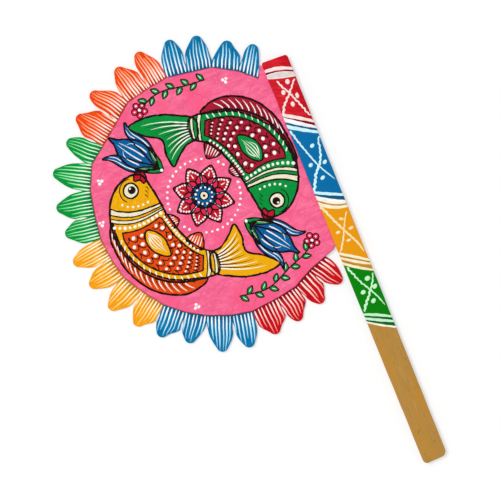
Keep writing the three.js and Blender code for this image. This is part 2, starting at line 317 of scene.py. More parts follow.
def add_piece(name, mesh, materials, slot, sharp, *replaced):
    """Makes a piece that rides on the fan. Its edges are sharp above an angle, and it may replace nodes."""
    tidy_normals(mesh)
    mesh.set_sharp_from_angle(angle=math.radians(sharp))
    mesh.name = name
    piece = new_object(name, mesh)
    for material in materials:
        mesh.materials.append(material)
    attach(piece, "root")
    if replaced:
        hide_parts(*replaced)


def lifted(plan, z):
    """Points of a plan at the given height or heights."""
    return np.concatenate([plan, np.broadcast_to(z, plan.shape[:-1])[..., None]], axis=-1)


def grains(across, along, other):
    return np.stack(np.broadcast_arrays(across, along, other), axis=-1)


def smooth_step(low, high, value):
    t = np.clip((value - low) / (high - low), 0.0, 1.0)
    return t * t * (3 - 2 * t)


def spline(points, steps=8, closed=False):
    """Smooth curve through the points."""
    points = np.asarray(points, float)
    if closed:
        around = np.vstack([points[-1:], points, points[:2]])
    else:
        around = np.vstack([2 * points[0] - points[1], points, 2 * points[-1] - points[-2]])
    t = (np.arange(steps) / steps)[:, None]
    spans = [
        0.5 * (2 * b + (c - a) * t + (2 * a - 5 * b + 4 * c - d) * t ** 2 + (3 * b - a - 3 * c + d) * t ** 3)
        for a, b, c, d in zip(around, around[1:], around[2:], around[3:])
    ]
    return np.vstack(spans if closed else [*spans, points[-1:]])


def lengths_along(path):
    return np.concatenate([[0], np.cumsum(np.linalg.norm(np.diff(path, axis=0), axis=1))])


def points_at(at, places, path):
    """Points of a path at places along it, where the places of the path's own points are known."""
    return np.stack([np.interp(at, places, values) for values in path.T], axis=1)


def resample(path, spacing):
    """Points at even distances along a path."""
    path = np.asarray(path, float)
    length = lengths_along(path)
    count = max(3, int(round(length[-1] / spacing)) + 1)
    return points_at(np.linspace(0, length[-1], count), length, path)


# Paint that stands on a surface, and how deep its edge sinks into it
PAINT_SINK = 0.08
STROKE_ACROSS = np.linspace(-1, 1, 5)
BLADE_NORMAL = (-BLADE_SLOPE, 0.0, 1.0)


def add_stroke(build, path, half_widths, height, normals=None, kind=0):
    """A brush stroke: a low rounded body along points on a surface, on the blade unless normals are given."""
    if normals is None:
        normals = np.tile(BLADE_NORMAL, (len(path), 1))
    side = np.cross(np.gradient(path, axis=0), normals)
    side /= np.maximum(np.linalg.norm(side, axis=1), 1e-9)[:, None]
    dome = height * np.sqrt(1 - STROKE_ACROSS ** 2)
    lift = np.where(np.abs(STROKE_ACROSS) == 1, -PAINT_SINK, dome)
    spread = STROKE_ACROSS * np.maximum(half_widths, 0.02)[:, None]
    rings = path[:, None] + side[:, None] * spread[..., None] + normals[:, None] * lift[:, None]
    length = lengths_along(path)[:, None]
    build.loft(rings, grains(spread + path[0, 0], length + path[0, 1], length / length[-1]), kind)


def tapered(count, start, end, from_start, from_end):
    """Relative width along a stroke that narrows to its two ends."""
    t = np.linspace(0, 1, count)
    rise = start + (1 - start) * np.sqrt(np.clip(t / from_start, 0, 1))
    fall = end + (1 - end) * np.sqrt(np.clip((1 - t) / from_end, 0, 1))
    return np.minimum(rise, fall)


def add_dot(build, centre, radii, turn, height, kind=0, segments=12):
    """A drop of paint: a low dome with an oval outline. The turn is in degrees."""
    circle = unit(np.arange(segments) * 360 / segments) * radii
    oval = circle @ np.array([unit(turn), unit(turn + 90)])
    rings = ((1.0, -PAINT_SINK), (0.96, 0.45 * height), (0.7, 0.85 * height), (0.36, height))
    rings = [lifted(centre[:2] + size * oval, centre[2] + rise) for size, rise in rings]
    build.loft(np.array(rings), kind=kind)


# Materials

def linear(colour):
    """Linear value of an sRGB colour from 0 to 255."""
    parts = []
    for value in colour:
        share = value / 255.0
        parts.append(share / 12.92 if share <= 0.04045 else ((share + 0.055) / 1.055) ** 2.4)
    return (*parts, 1.0)


def shaded(colour, share):
    """The colour, darker below 1 and lighter above."""
    if share <= 1:
        return tuple(value * share for value in colour)
    return tuple(value + (255 - value) * (share - 1) for value in colour)


class Shade:
    """A material's node tree, with short ways to add nodes."""

    def __init__(self, name, roughness, specular=0.05):
        self.material = bpy.data.materials.new(name)
        self.material.use_nodes = True
        self.tree = self.material.node_tree
        self.shader = self.tree.nodes["Principled BSDF"]
        self.shader.inputs["Roughness"].default_value = roughness
        self.shader.inputs["Specular IOR Level"].default_value = specular

    def put(self, socket, value):
        """Gives a socket another node's output, a colour from 0 to 255, or a plain value."""
        if isinstance(value, bpy.types.NodeSocket):
            self.tree.links.new(value, socket)
        else:
            socket.default_value = linear(value) if socket.type == "RGBA" else value

    def node(self, kind, inputs, **settings):
        node = self.tree.nodes.new(kind)
        for key, value in settings.items():
            setattr(node, key, value)
        for key, value in inputs.items():
            self.put(node.inputs[key], value)
        return node

    def attribute(self, name):
        return self.node("ShaderNodeAttribute", {}, attribute_name=name).outputs

    def grain(self):
        return self.attribute("grain")["Vector"]

    def position(self):
        return self.node("ShaderNodeNewGeometry", {}).outputs["Position"]

    def parts(self, vector):
        return self.node("ShaderNodeSeparateXYZ", {0: vector}).outputs

    def noise(self, vector, scale, detail=2.0, rough=0.5):
        scaled = self.node("ShaderNodeMapping", {"Vector": vector, "Scale": scale}).outputs[0]
        fields = {"Vector": scaled, "Scale": 1.0, "Detail": detail, "Roughness": rough}
        return self.node("ShaderNodeTexNoise", fields).outputs["Fac"]

    def between(self, value, low, high, most=1.0):
        """0 at low and before it, the most at high and past it."""
        fields = {"Value": value, "From Min": low, "From Max": high, "To Max": most}
        return self.node("ShaderNodeMapRange", fields, interpolation_type="SMOOTHSTEP").outputs["Result"]

    def math(self, operation, *values):
        return self.node("ShaderNodeMath", dict(enumerate(values)), operation=operation).outputs[0]

    def blend(self, share, first, second):
        return self.math("MULTIPLY_ADD", share, self.math("SUBTRACT", second, first), first)

    def mix(self, share, first, second):
        """Mix of two colours through the colour sockets of a Mix node."""
        node = self.node("ShaderNodeMix", {0: share}, data_type="RGBA")
        for socket, value in zip((one for one in node.inputs if one.type == "RGBA"), (first, second)):
            self.put(socket, value)
        return next(one for one in node.outputs if one.type == "RGBA")

    def finish(self, colour, relief, depth):
        """Gives the shader its colour and its bump, and returns the material."""
        self.put(self.shader.inputs["Base Color"], colour)
        bump = self.node("ShaderNodeBump", {"Strength": 1.0, "Distance": depth * MM, "Height": relief})
        self.put(self.shader.inputs["Normal"], bump.outputs["Normal"])
        return self.material


def paint_material(name, colour, roughness=0.6, depth=0.03, dark=0.93):
    """Brushed paint: its shade changes in streaks along the grain and in soft patches."""
    shade = Shade(name, roughness)
    fine = shade.noise(shade.grain(), BRISTLES, 3.0)
    patch = shade.noise(shade.position(), PATCHES)
    tone = shade.mix(shade.between(fine, 0.35, 0.65), shaded(colour, dark), colour)
    tone = shade.mix(shade.between(patch, 0.45, 0.75), tone, shaded(colour, 1.05))
    return shade.finish(tone, fine, depth)


def bamboo_tone(shade, grain):
    """Colour and fibres of bare bamboo, which changes its tone slowly and has a few dark flecks."""
    fibre = shade.noise(grain, FIBRES, 4.0, 0.6)
    slow = shade.noise(grain, BAMBOO_AGEING, 3.0)
    tone = shade.mix(shade.between(fibre, 0.3, 0.7), shaded(BAMBOO, 0.84), shaded(BAMBOO, 1.1))
    tone = shade.mix(shade.between(shade.noise(grain, FIBRE_BANDS), 0.35, 0.7), tone, shaded(BAMBOO, 0.97))
    tone = shade.mix(shade.between(slow, 0.52, 0.7, 0.5), tone, BAMBOO_TONES[0])
    tone = shade.mix(shade.between(slow, 0.46, 0.28, 0.5), tone, BAMBOO_TONES[1])
    fleck = shade.between(shade.noise(grain, FLECKS, 1.0), 0.71, 0.76)
    return shade.mix(fleck, tone, shaded(BAMBOO, 0.55)), fibre


def bamboo_material(name, upright=False):
    """Bare bamboo, whose fibres run along the piece's grain or straight up."""
    shade = Shade(name, 0.5, 0.12)
    grain = shade.grain()
    if upright:
        turned = {"Vector": shade.position(), "Rotation": (math.pi / 2, 0, 0)}
        grain = shade.node("ShaderNodeMapping", turned).outputs["Vector"]
    return shade.finish(*bamboo_tone(shade, grain), 0.06)


# Stage, light and camera

def white_to_camera(tree, output, lit, glow, tone, share):
    """Fills a node tree with a pale shader for the light and a share of plain white for the camera."""
    tree.nodes.clear()
    kinds = (output, "ShaderNodeMixShader", lit, glow, "ShaderNodeLightPath", "ShaderNodeMath")
    out, mix, pale, white, rays, scale = (tree.nodes.new(kind) for kind in kinds)
    pale.inputs["Color"].default_value = (tone, tone, tone, 1)
    white.inputs["Color"].default_value = (1, 1, 1, 1)
    scale.operation = "MULTIPLY"
    scale.inputs[1].default_value = share
    tree.links.new(rays.outputs["Is Camera Ray"], scale.inputs[0])
    for place, shader in enumerate((scale, pale, white)):
        tree.links.new(shader.outputs[0], mix.inputs[place])
    tree.links.new(mix.outputs[0], out.inputs["Surface"])
    return pale


def make_stage():
    corners = [(x * FLOOR_HALF * MM, y * FLOOR_HALF * MM, -FLOOR_DEPTH * MM)
               for x, y in ((-1, -1), (1, -1), (1, 1), (-1, 1))]
    mesh = bpy.data.meshes.new("floor")
    mesh.from_pydata(corners, [], [(0, 1, 2, 3)])
    material = bpy.data.materials.new("floor_white")
    material.use_nodes = True
    kinds = ("ShaderNodeOutputMaterial", "ShaderNodeBsdfDiffuse", "ShaderNodeEmission")
    white_to_camera(material.node_tree, *kinds, FLOOR_TONE, FLOOR_GLOW)
    mesh.materials.append(material)
    new_object("floor", mesh)


def make_world():
    world = bpy.data.worlds.new("studio")
    bpy.context.scene.world = world
    world.use_nodes = True
    kinds = ("ShaderNodeOutputWorld", "ShaderNodeBackground", "ShaderNodeBackground")
    sky = white_to_camera(world.node_tree, *kinds, 1.0, 1.0)
    sky.inputs["Strength"].default_value = SKY_STRENGTH


def make_sun():
    light = bpy.data.lights.new("window", "SUN")
    light.energy = SUN_STRENGTH
    light.angle = math.radians(SUN_ANGLE)
    sun = new_object("window", light)
    sun.rotation_mode = "QUATERNION"
    sun.rotation_quaternion = Vector(SUN_TOWARDS).to_track_quat("Z", "Y")


def make_camera():
    data = bpy.data.cameras.new("camera")
    data.sensor_fit = "HORIZONTAL"
    data.sensor_width = SENSOR
    data.lens = SENSOR * (VIEW_HEIGHT - HANDLE_THICK / 2) / VIEW_SPAN
    data.dof.use_dof = False
    camera = new_object("camera", data)
    x, y = HANDLE_X + VIEW_FROM_HANDLE[0], HANDLE_TOP + VIEW_FROM_HANDLE[1]
    camera.location = (x * MM, y * MM, VIEW_HEIGHT * MM)
    camera.rotation_euler = (0, 0, math.radians(VIEW_TURN))
    bpy.context.scene.camera = camera


bpy.context.scene.view_settings.view_transform = "Standard"
make_stage()
make_world()
make_sun()
make_camera()

# Handle slat: the waves of its sides, as depth, length and start, its rounded edges, half the height of its
# split, how deep under the slat's faces the split's corners lie at least, how far the cutter reaches past the
# slat, the room round each peg, the slat's corners, given left and right, and how far each end's right side
# is drawn in

CUT_WAVES = ((0.12, 17.0, 0.0), (0.09, 7.3, 1.0))
EDGE_ROUND = 0.9
ROUND_STEPS = 5
SPLIT_HALF = 0.95
SPLIT_DEPTH = 1.2
PAST_SLAT = 20.0
PEG_ROOM = 0.12
PEG_SIDES = 36
GRIP_CORNERS = (3.8, 5.4)
GRIP_SLANT = 0.5
TOP_CORNERS = (1.8, 2.8)
TOP_SLANT = 0.8
SIDE_STEP = 5


def half_width(y):
    """Half the slat's width at a height along it."""
    return GRIP_HALF + (HANDLE_HALF - GRIP_HALF) * (y - HANDLE_BOTTOM) / (HANDLE_TOP - HANDLE_BOTTOM)


def handle_outline(inset):
    """Plan of the slat, shrunk by so much, with the same number of points for any inset."""
    low_left, low_right = GRIP_CORNERS
    high_left, high_right = TOP_CORNERS
    corners = (
        (HANDLE_X - GRIP_HALF + low_left, HANDLE_BOTTOM + low_left, low_left, 180),
        (HANDLE_X + GRIP_HALF - low_right, HANDLE_BOTTOM + GRIP_SLANT + low_right, low_right, 270),
        (HANDLE_X + HANDLE_HALF - high_right, HANDLE_TOP - TOP_SLANT - high_right, high_right, 0),
        (HANDLE_X - HANDLE_HALF + high_left, HANDLE_TOP - high_left, high_left, 90),
    )
    arcs = [(x, y) + (radius - inset) * unit(first + np.arange(0, 91, 15)) for x, y, radius, first in corners]
    outline = []
    for arc, after in zip(arcs, arcs[1:] + arcs[:1]):
        run = after[0] - arc[-1]
        pieces = max(2, int(np.linalg.norm(run) / SIDE_STEP))
        outline += [arc, arc[-1] + run * np.arange(1, pieces)[:, None] / pieces]
    return np.vstack(outline)


def hand_cut(points):
    """Slight waves of the slat's sides, as a knife leaves them."""
    x, y = points.T
    wave = sum(depth * np.sin(y / length + start) for depth, length, start in CUT_WAVES)
    aside = x - HANDLE_X
    inner = np.clip(np.abs(aside) / half_width(y), 0, 1)
    return np.column_stack([x - np.sign(aside) * inner * np.abs(wave), y])


def slat_mesh():
    """The whole slat, before it is split and bored."""
    rounding = EDGE_ROUND * (1 - unit(np.linspace(0, 90, ROUND_STEPS + 1)))
    rings = [(inset, rise) for rise, inset in rounding]
    rings += [(inset, HANDLE_THICK - rise) for rise, inset in rounding[::-1]]
    return Build().loft(np.array([lifted(hand_cut(handle_outline(inset)), z) for inset, z in rings])).mesh()


def split_mesh():
    """The gap that holds the mat, open at the slat's top end and along both sides."""
    z = handle_points[:, 2]
    root = handle_points[(z > SPLIT_DEPTH) & (z < HANDLE_THICK - SPLIT_DEPTH), 1].min()
    left, right = HANDLE_SIDE - PAST_SLAT, handle_high[0] + PAST_SLAT
    x = np.array([left, right, right, left])
    z = blade_z(x, SPLIT_HALF * np.array([-1, -1, 1, 1]))
    rings = [np.column_stack([x, np.full(4, y), z]) for y in (root, HANDLE_TOP + PAST_SLAT)]
    return Build().loft(np.array(rings)).mesh(smooth=False)


def peg_holes():
    """Round holes for the pegs, open at the slat's back."""
    circle = unit(np.arange(PEG_SIDES) * 360 / PEG_SIDES)
    build = Build()
    for name in PEG_NODES:
        low, high = node_points(name).min(axis=0), node_points(name).max(axis=0)
        plan = (low + high)[:2] / 2 + ((high[0] - low[0]) / 2 + PEG_ROOM) * circle
        build.loft(np.array([lifted(plan, z) for z in (low[2] - 1, high[2] + PEG_ROOM)]))
    return build.mesh(smooth=False)


def cut(mesh, cutter_mesh):
    """The first mesh with the second cut away."""
    tidy_normals(mesh)
    tidy_normals(cutter_mesh)
    body, cutter = new_object("cut_body", mesh), new_object("cut_tool", cutter_mesh)
    modifier = body.modifiers.new("cut", "BOOLEAN")
    modifier.operation = "DIFFERENCE"
    modifier.solver = "EXACT"
    modifier.object = cutter
    bpy.context.view_layer.update()
    result = bpy.data.meshes.new_from_object(body.evaluated_get(bpy.context.evaluated_depsgraph_get()))
    for item in (body, cutter):
        bpy.data.objects.remove(item)
    return result


# Paint on the handle, with distances from the slat's top end. Each panel has its paint, and where it ends at
# the left side and the right side, and how far that line bows down. The top panel also has a brighter red.

PANELS = (
    ((184, 6, 20), (57.0, 74.2, 0.3)),
    ((0, 106, 164), (135.0, 148.6, 1.6)),
    ((230, 150, 10), (201.0, 217.0, 0.9)),
    ((0, 126, 4), (257.4, 272.9, 0.9)),
)
BRIGHT_RED = (214, 28, 44)
MARK_PAINT = {
    "rose_white": (255, 234, 230),
    "white": (252, 250, 250),
    "cyan_white": (212, 250, 255),
    "pale_yellow": (255, 230, 172),
    "cream": (255, 243, 208),
    "pale_green": (204, 252, 206),
    "ivory": (252, 250, 224),
    "wash": (226, 218, 214),
    "dark_red": (104, 16, 30),
    "navy": (16, 86, 128),
    "brown": (196, 142, 84),
    "gold_brown": (196, 144, 48),
    "deep_green": (12, 98, 50),
}
MARKS = list(MARK_PAINT)
# The dark marks lie in the gaps between the pale bands: darker paint, and partly painted shade in those gaps
DARK_MARKS = ("dark_red", "navy", "brown", "gold_brown", "deep_green")
LOW_MARKS = (*DARK_MARKS, "wash")
# Each band has where it crosses the left and the right side, its width at the left side, the middle and the
# right side, and how far its middle bows down.
BANDS = (
    ("dark_red", (11.1, 18.2), (1.5, 1.6, 1.9), -1.2),
    ("rose_white", (8.8, 15.4), (3.0, 3.9, 2.8), -1.8),
    ("wash", (14.0, 20.6), (4.0, 6.1, 4.0), -0.8),
    ("rose_white", (12.6, 19.1), (1.0, 1.0, 1.0), -1.9),
    ("rose_white", (15.6, 22.3), (1.2, 1.2, 1.2), 0.6),
    ("dark_red", (54.0, 71.0), (1.2, 1.6, 2.4), 0.0),
    ("navy", (60.0, 76.3), (1.8, 1.8, 1.9), 0.3),
    ("rose_white", (51.9, 67.9), (3.8, 4.1, 2.8), -0.5),
    ("white", (56.4, 73.7), (5.2, 4.7, 2.8), 0.3),
    ("cyan_white", (63.3, 78.7), (4.4, 4.2, 2.6), 0.4),
    ("navy", (131.3, 144.4), (1.4, 3.4, 4.8), 0.3),
    ("brown", (137.2, 149.9), (2.0, 2.2, 2.4), 2.4),
    ("cyan_white", (129.0, 141.0), (2.7, 3.4, 2.6), 0.2),
    ("cream", (135.4, 148.9), (2.4, 3.2, 1.6), 1.7),
    ("white", (133.3, 147.5), (2.9, 3.0, 2.4), 0.9),
    ("cream", (140.1, 151.8), (4.6, 3.6, 2.4), 2.5),
    ("gold_brown", (191.9, 208.0), (1.8, 2.2, 2.2), 0.1),
    ("gold_brown", (196.9, 213.1), (2.2, 3.2, 4.0), 0.8),
    ("cream", (189.8, 206.2), (2.9, 3.5, 2.4), -0.3),
    ("cream", (194.2, 209.8), (2.3, 3.3, 2.0), 0.5),
    ("cream", (199.4, 215.8), (3.1, 3.3, 2.0), 0.9),
    ("deep_green", (252.5, 264.8), (1.6, 2.2, 2.4), -0.3),
    ("deep_green", (256.3, 269.8), (1.6, 2.6, 4.0), 0.6),
    ("pale_green", (250.5, 262.4), (2.3, 3.3, 2.2), -0.7),
    ("pale_green", (254.4, 267.0), (2.5, 3.3, 2.3), 0.1),
    ("ivory", (257.8, 272.7), (1.9, 2.4, 2.0), 0.7),
)
# Each cross line has its width at both ends, how far it wavers at both ends, and its points from the slat's
# middle line and down the slat.
CROSS_LINES = (
    ("rose_white", (1.9, 1.9), (0.2, 0.4),
     ((-5.3, 20.6), (-3.8, 25.6), (0.3, 33.4), (2.9, 39.4), (6.5, 48.2), (9.6, 57.4), (11.8, 62.2))),
    ("rose_white", (1.6, 2.6), (0.25, 0.4),
     ((10.6, 24.6), (7.5, 28.2), (5.0, 31.2), (1.4, 35.4), (-2.2, 39.0), (-6.9, 43.6), (-9.9, 48.3),
      (-11.2, 53.6))),
    ("cyan_white", (2.3, 1.3), (0.25, 0.0),
     ((-11.5, 67.8), (-6.3, 86.3), (1.4, 107.9), (10.6, 124.6))),
    ("cyan_white", (1.7, 3.0), (0.25, 0.45),
     ((11.6, 82.2), (9.6, 86.3), (8.0, 94.4), (4.4, 103.8), (-3.3, 113.0), (-7.4, 120.2), (-10.3, 125.6),
      (-11.6, 129.6))),
    ("pale_yellow", (2.7, 2.1), (0.3, 0.05),
     ((-11.6, 142.8), (-8.6, 150.0), (-4.5, 160.3), (0.7, 171.6), (5.8, 181.9), (8.9, 189.1), (10.6, 196.6))),
    ("pale_yellow", (1.3, 2.1), (0.05, 0.25),
     ((9.4, 156.2), (4.7, 163.3), (0.6, 171.6), (-2.5, 177.8), (-6.5, 184.0), (-10.1, 189.4))),
    ("pale_green", (2.1, 1.4), (0.45, 0.05),
     ((-10.1, 204.5), (-7.1, 211.6), (-3.5, 221.0), (2.2, 231.2), (6.8, 240.4), (9.9, 249.6))),
    ("pale_green", (1.4, 3.0), (0.15, 0.5),
     ((10.7, 217.8), (6.8, 226.0), (2.2, 232.3), (-2.5, 238.4), (-5.5, 241.5), (-10.1, 248.6))),
)
# Each drop has its place, its half length and half width, and how it is turned.
DROPS = (
    ("rose_white", (3.6, 24.9), (2.5, 2.1), 80),
    ("rose_white", (-3.8, 32.8), (2.4, 1.9), 80),
    ("rose_white", (7.2, 40.0), (2.7, 1.7), 84),
    ("rose_white", (0.3, 45.9), (2.5, 1.9), 86),
    ("cyan_white", (2.6, 88.3), (2.3, 1.8), 25),
    ("cyan_white", (-5.5, 104.4), (2.2, 1.8), 20),
    ("cyan_white", (7.8, 106.5), (2.3, 1.7), 35),
    ("cyan_white", (0.5, 119.3), (2.4, 1.7), 25),
    ("pale_yellow", (2.2, 161.0), (2.3, 1.4), -30),
    ("pale_yellow", (-5.3, 171.5), (2.3, 1.4), 0),
    ("pale_yellow", (7.5, 172.1), (2.6, 1.5), 5),
    ("pale_yellow", (1.2, 181.8), (2.4, 1.3), 0),
    ("pale_green", (4.0, 220.9), (2.7, 2.2), 10),
    ("pale_green", (-4.5, 231.4), (2.5, 2.0), 10),
    ("pale_green", (7.6, 230.3), (2.6, 1.9), 35),
    ("pale_green", (1.4, 242.2), (2.6, 2.0), 30),
)
BAND_ACROSS = np.array([-1, -0.9, -0.6, -0.2, 0.2, 0.6, 0.9, 1.0])
BAND_ROWS = 73
BAND_OVER_EDGE = 1.1
BAND_HEIGHT = 0.13
LOW_HEIGHT = 0.05
CROSS_HEIGHT = 0.16
DROP_HEIGHT = 0.32
DROP_SIDES = 20
LINE_STEP = 0.55


def slat_surface(across, from_top):
    """Points of the slat's painted face, which rolls over its long edges, and which way the surface faces."""
    across, from_top = np.broadcast_arrays(across, from_top)
    y = HANDLE_TOP - from_top
    side, reach = np.sign(across), np.abs(across)
    flat = half_width(y) - EDGE_ROUND
    over = np.clip(reach - flat, 0, None)
    turn = np.clip(over / EDGE_ROUND, 0, math.pi / 2)
    down = np.clip(over - EDGE_ROUND * math.pi / 2, 0, None)
    x = HANDLE_X + side * (np.minimum(reach, flat) + EDGE_ROUND * np.sin(turn))
    z = HANDLE_THICK - EDGE_ROUND * (1 - np.cos(turn)) - down
    plan = hand_cut(np.stack([x.ravel(), y.ravel()], axis=1)).reshape(*x.shape, 2)
    return lifted(plan, z), grains(side * np.sin(turn), 0.0, np.cos(turn))


def add_band(build, band, random):
    """One slanting band, which wraps a little way over both edges of the slat."""
    name, (left, right), widths, bow = band
    ends = EDGE_ROUND * (math.pi / 2 - 1) + random.uniform(0.1, BAND_OVER_EDGE, 2)
    across = np.linspace(-HANDLE_HALF - ends[0], HANDLE_HALF + ends[1], BAND_ROWS)
    share = across / (2 * HANDLE_HALF) + 0.5
    middle = left + (right - left) * share + bow * 4 * share * (1 - share)
    half = np.interp(share, (0, 0.5, 1), widths) / 2 * tapered(BAND_ROWS, 0.55, 0.45, 0.05, 0.05)
    edges = []
    for rate in (0.9, 0.7):
        slow, quick = random.uniform(0, 6), random.uniform(0, 6)
        edge = half * (1 + 0.07 * np.sin(across * rate + slow)) + 0.06 * np.sin(across * 3.1 + quick)
        edges.append(edge[:, None])
    spread = np.where(BAND_ACROSS < 0, *edges) * BAND_ACROSS
    points, normals = slat_surface(across[:, None], middle[:, None] + spread)
    height = LOW_HEIGHT if name in LOW_MARKS else BAND_HEIGHT
    lift = np.where(np.abs(BAND_ACROSS) == 1, -PAINT_SINK, height * (1 - BAND_ACROSS ** 4))
    rings = points + normals * lift[:, None]
    build.loft(rings, grains(spread + left, across[:, None], 0.0), MARKS.index(name))


def add_cross_line(build, line, random):
    name, widths, wavers, points = line
    path = resample(spline(points), LINE_STEP)
    count = len(path)
    share = np.linspace(0, 1, count)
    phase = np.arange(count) * LINE_STEP * 2 * math.pi
    swing = np.sin(phase / 4.3 + random.uniform(0, 6)) + 0.5 * np.sin(phase / 7.7 + random.uniform(0, 6))
    swing *= np.interp(share, (0, 1), wavers)
    path = path + left_of(np.gradient(path, axis=0)) * swing[:, None]
    half = np.interp(share, (0, 1), widths) / 2 * (1 + 0.1 * np.sin(phase / 5.9))
    half *= tapered(count, 0.5, 0.2, 0.04, 0.12)
    flat, normals = slat_surface(*path.T)
    add_stroke(build, flat, half, CROSS_HEIGHT, normals, MARKS.index(name))


def add_slat_marks():
    random = np.random.default_rng(SEED + 2)
    bands, crosses, drops = Build(), Build(), Build()
    for band in BANDS:
        add_band(bands, band, random)
    for line in CROSS_LINES:
        add_cross_line(crosses, line, random)
    for name, (across, from_top), radii, turn in DROPS:
        centre, _ = slat_surface(across, from_top)
        add_dot(drops, centre, radii, turn, DROP_HEIGHT, MARKS.index(name), DROP_SIDES)
    materials = [
        paint_material(f"mark_{name}", colour, 0.5, 0.02, 0.8 if name in DARK_MARKS else 0.9)
        for name, colour in MARK_PAINT.items()
    ]
    for name, build in (("handle_bands", bands), ("handle_crosses", crosses), ("handle_drops", drops)):
        add_piece(name, build.mesh(), materials, "bamboo_slat", 60)


# Where the slat's paint changes, in metres: how soft the panels' ends are, the pink that is smeared over the
# left edge beside the mat, the painted shade along the rounded long edges and its tone, and how far the paint
# reaches down the sides and over the edges
PANEL_BLUR = 0.15 * MM
SMEAR_ASIDE = (-11.0 * MM, -11.9 * MM)
SMEAR_DOWN = (62 * MM, 40 * MM)
EDGE_SHADE_REACH = (11.7 * MM, 12.5 * MM)
EDGE_SHADE_TONE = (70, 20, 24)
PAINT_LOW = (0.5 * MM, 1.0 * MM)
PAINT_WRAP = (11.8 * MM, 12.1 * MM)
BRUSH_SLANT = -0.6


def slat_material():
    """Paint on the slat's front and sides, brushed on aslant, with painted shade along its rounded edges, and
    bare bamboo behind and at the grip.
    """
    shade = Shade("painted_slat", 0.5, 0.06)
    position = shade.position()
    x, y, z = shade.parts(position)
    ragged = shade.noise(position, RAGGED, 3.0)
    aside = shade.math("SUBTRACT", x, HANDLE_X * MM)
    reach = shade.math("ABSOLUTE", aside)
    share = shade.math("MULTIPLY_ADD", aside, 0.5 / (HANDLE_HALF * MM), 0.5)
    from_top = shade.math("SUBTRACT", HANDLE_TOP * MM, y)
    bowl = shade.math("MULTIPLY", share, shade.math("MULTIPLY_ADD", share, -4.0, 4.0))
    slant = shade.math("MULTIPLY_ADD", aside, BRUSH_SLANT, from_top)
    brush = shade.node("ShaderNodeCombineXYZ", {0: slant, 1: aside, 2: z}).outputs[0]
    streak = shade.noise(brush, SLAT_BRISTLES, 3.0)
    red = PANELS[0][0]
    colour = shade.mix(shade.between(streak, 0.3, 0.62), red, BRIGHT_RED)
    patch = shade.between(shade.noise(brush, SLAT_PATCHES), 0.5, 0.78)
    colour = shade.mix(patch, colour, shaded(BRIGHT_RED, 1.08))
    colour = shade.mix(shade.between(share, 0.55, 1.0, 0.6), colour, red)
    past = 0.0
    for paint, (left, right, bow) in PANELS:
        colour = shade.mix(past, colour, paint)
        edge = shade.math("MULTIPLY_ADD", share, (right - left) * MM, left * MM)
        edge = shade.math("MULTIPLY_ADD", bowl, bow * MM, edge)
        past = shade.between(shade.math("SUBTRACT", from_top, edge), -PANEL_BLUR, PANEL_BLUR)
    smear = shade.between(shade.math("MULTIPLY_ADD", ragged, 2.2 * MM, aside), *SMEAR_ASIDE)
    colour = shade.mix(shade.math("MULTIPLY", smear, shade.between(from_top, *SMEAR_DOWN)), colour, PINK)
    # Painted shade along the slat's rounded long edges
    colour = shade.mix(shade.between(reach, *EDGE_SHADE_REACH, 0.3), colour, EDGE_SHADE_TONE)
    bare, fibre = bamboo_tone(shade, position)
    wrapped = shade.between(shade.math("MULTIPLY_ADD", ragged, 2.4 * MM, reach), *PAINT_WRAP)
    painted = shade.math("MAXIMUM", shade.between(z, *PAINT_LOW), wrapped)
    painted = shade.math("MULTIPLY", painted, shade.math("SUBTRACT", 1.0, past))
    return shade.finish(shade.mix(painted, bare, colour), shade.blend(painted, fibre, streak), 0.05)


handle_mesh = cut(cut(slat_mesh(), split_mesh()), peg_holes())
add_piece("handle_slat", handle_mesh, [slat_material()], "bamboo_slat", 35, "handle")
add_slat_marks()

# Plait, seen from the back: splints of bare bamboo that bend softly over and under each other. Lines along
# a splint lie at shares of its half width, with the splint thinner at its edges. A splint that passes the
# foot of the mat's upper corner gets more lines close to it, and ends where it leaves the mat there.

SPLINT_COLUMNS = np.array([-1.0, -0.94, -0.5, 0.0, 0.5, 0.94, 1.0])
SPLINT_EDGE = np.array([0.5, 0.92, 1.0, 1.0, 1.0, 0.92, 0.5])
SPLINT_ROOM = 0.03
SPLINT_STEP = 1.3
FLATNESS = 5
FOOT_LINES = np.array([-0.3, 0.0, 0.2])
FOOT_ZONE = 3.0
PAST_RIM = -0.08
RIM_TRIES = 900


def splint_place(name):
    """Which way a splint runs, and how many pitches it lies from the middle one."""
    family, side = name.split("_")[1:3]
    if side == "middle":
        return family, 0
    return family, int(name.split("_")[3]) * (1 if side == "upper" else -1)


def ended_at_rim(ends, along, across, places):
    """The ends, drawn back where a line leaves the mat and enters its upper corner again."""
    share = np.linspace(0, 1, RIM_TRIES)[:, None]
    at = ends[:, 0] + share * (ends[:, 1] - ends[:, 0])
    plan = at[..., None] * along + places[:, None] * across
    near_foot = np.linalg.norm(plan - polar(*FIRST_PETAL), axis=-1) < FOOT_ZONE
    beyond = near_foot & (inward(plan) < PAST_RIM)
    last = np.where(beyond.any(axis=0), beyond.argmax(axis=0), RIM_TRIES - 1)
    return np.column_stack([ends[:, 0], at[last, np.arange(len(places))]])


def splint_height(family, step, at, middle):
    """Height of a splint's middle above the blade's plane. Warp is on top where the steps add up to even."""
    top = 1 if (step % 2 == 0) == (family == "warp") else -1
    wave = np.tanh(FLATNESS * np.cos(math.pi * (at - middle) / PITCH))
    return top * SPLINT_RISE * wave / math.tanh(FLATNESS)


def end_wall(first, columns):
    """Upright quads across a splint's end, each between two points of its top and the two below them."""
    last = first + columns - 1
    return [(first + k, first + k + 1, last - k - 1, last - k) for k in range(columns // 2 - 1)]


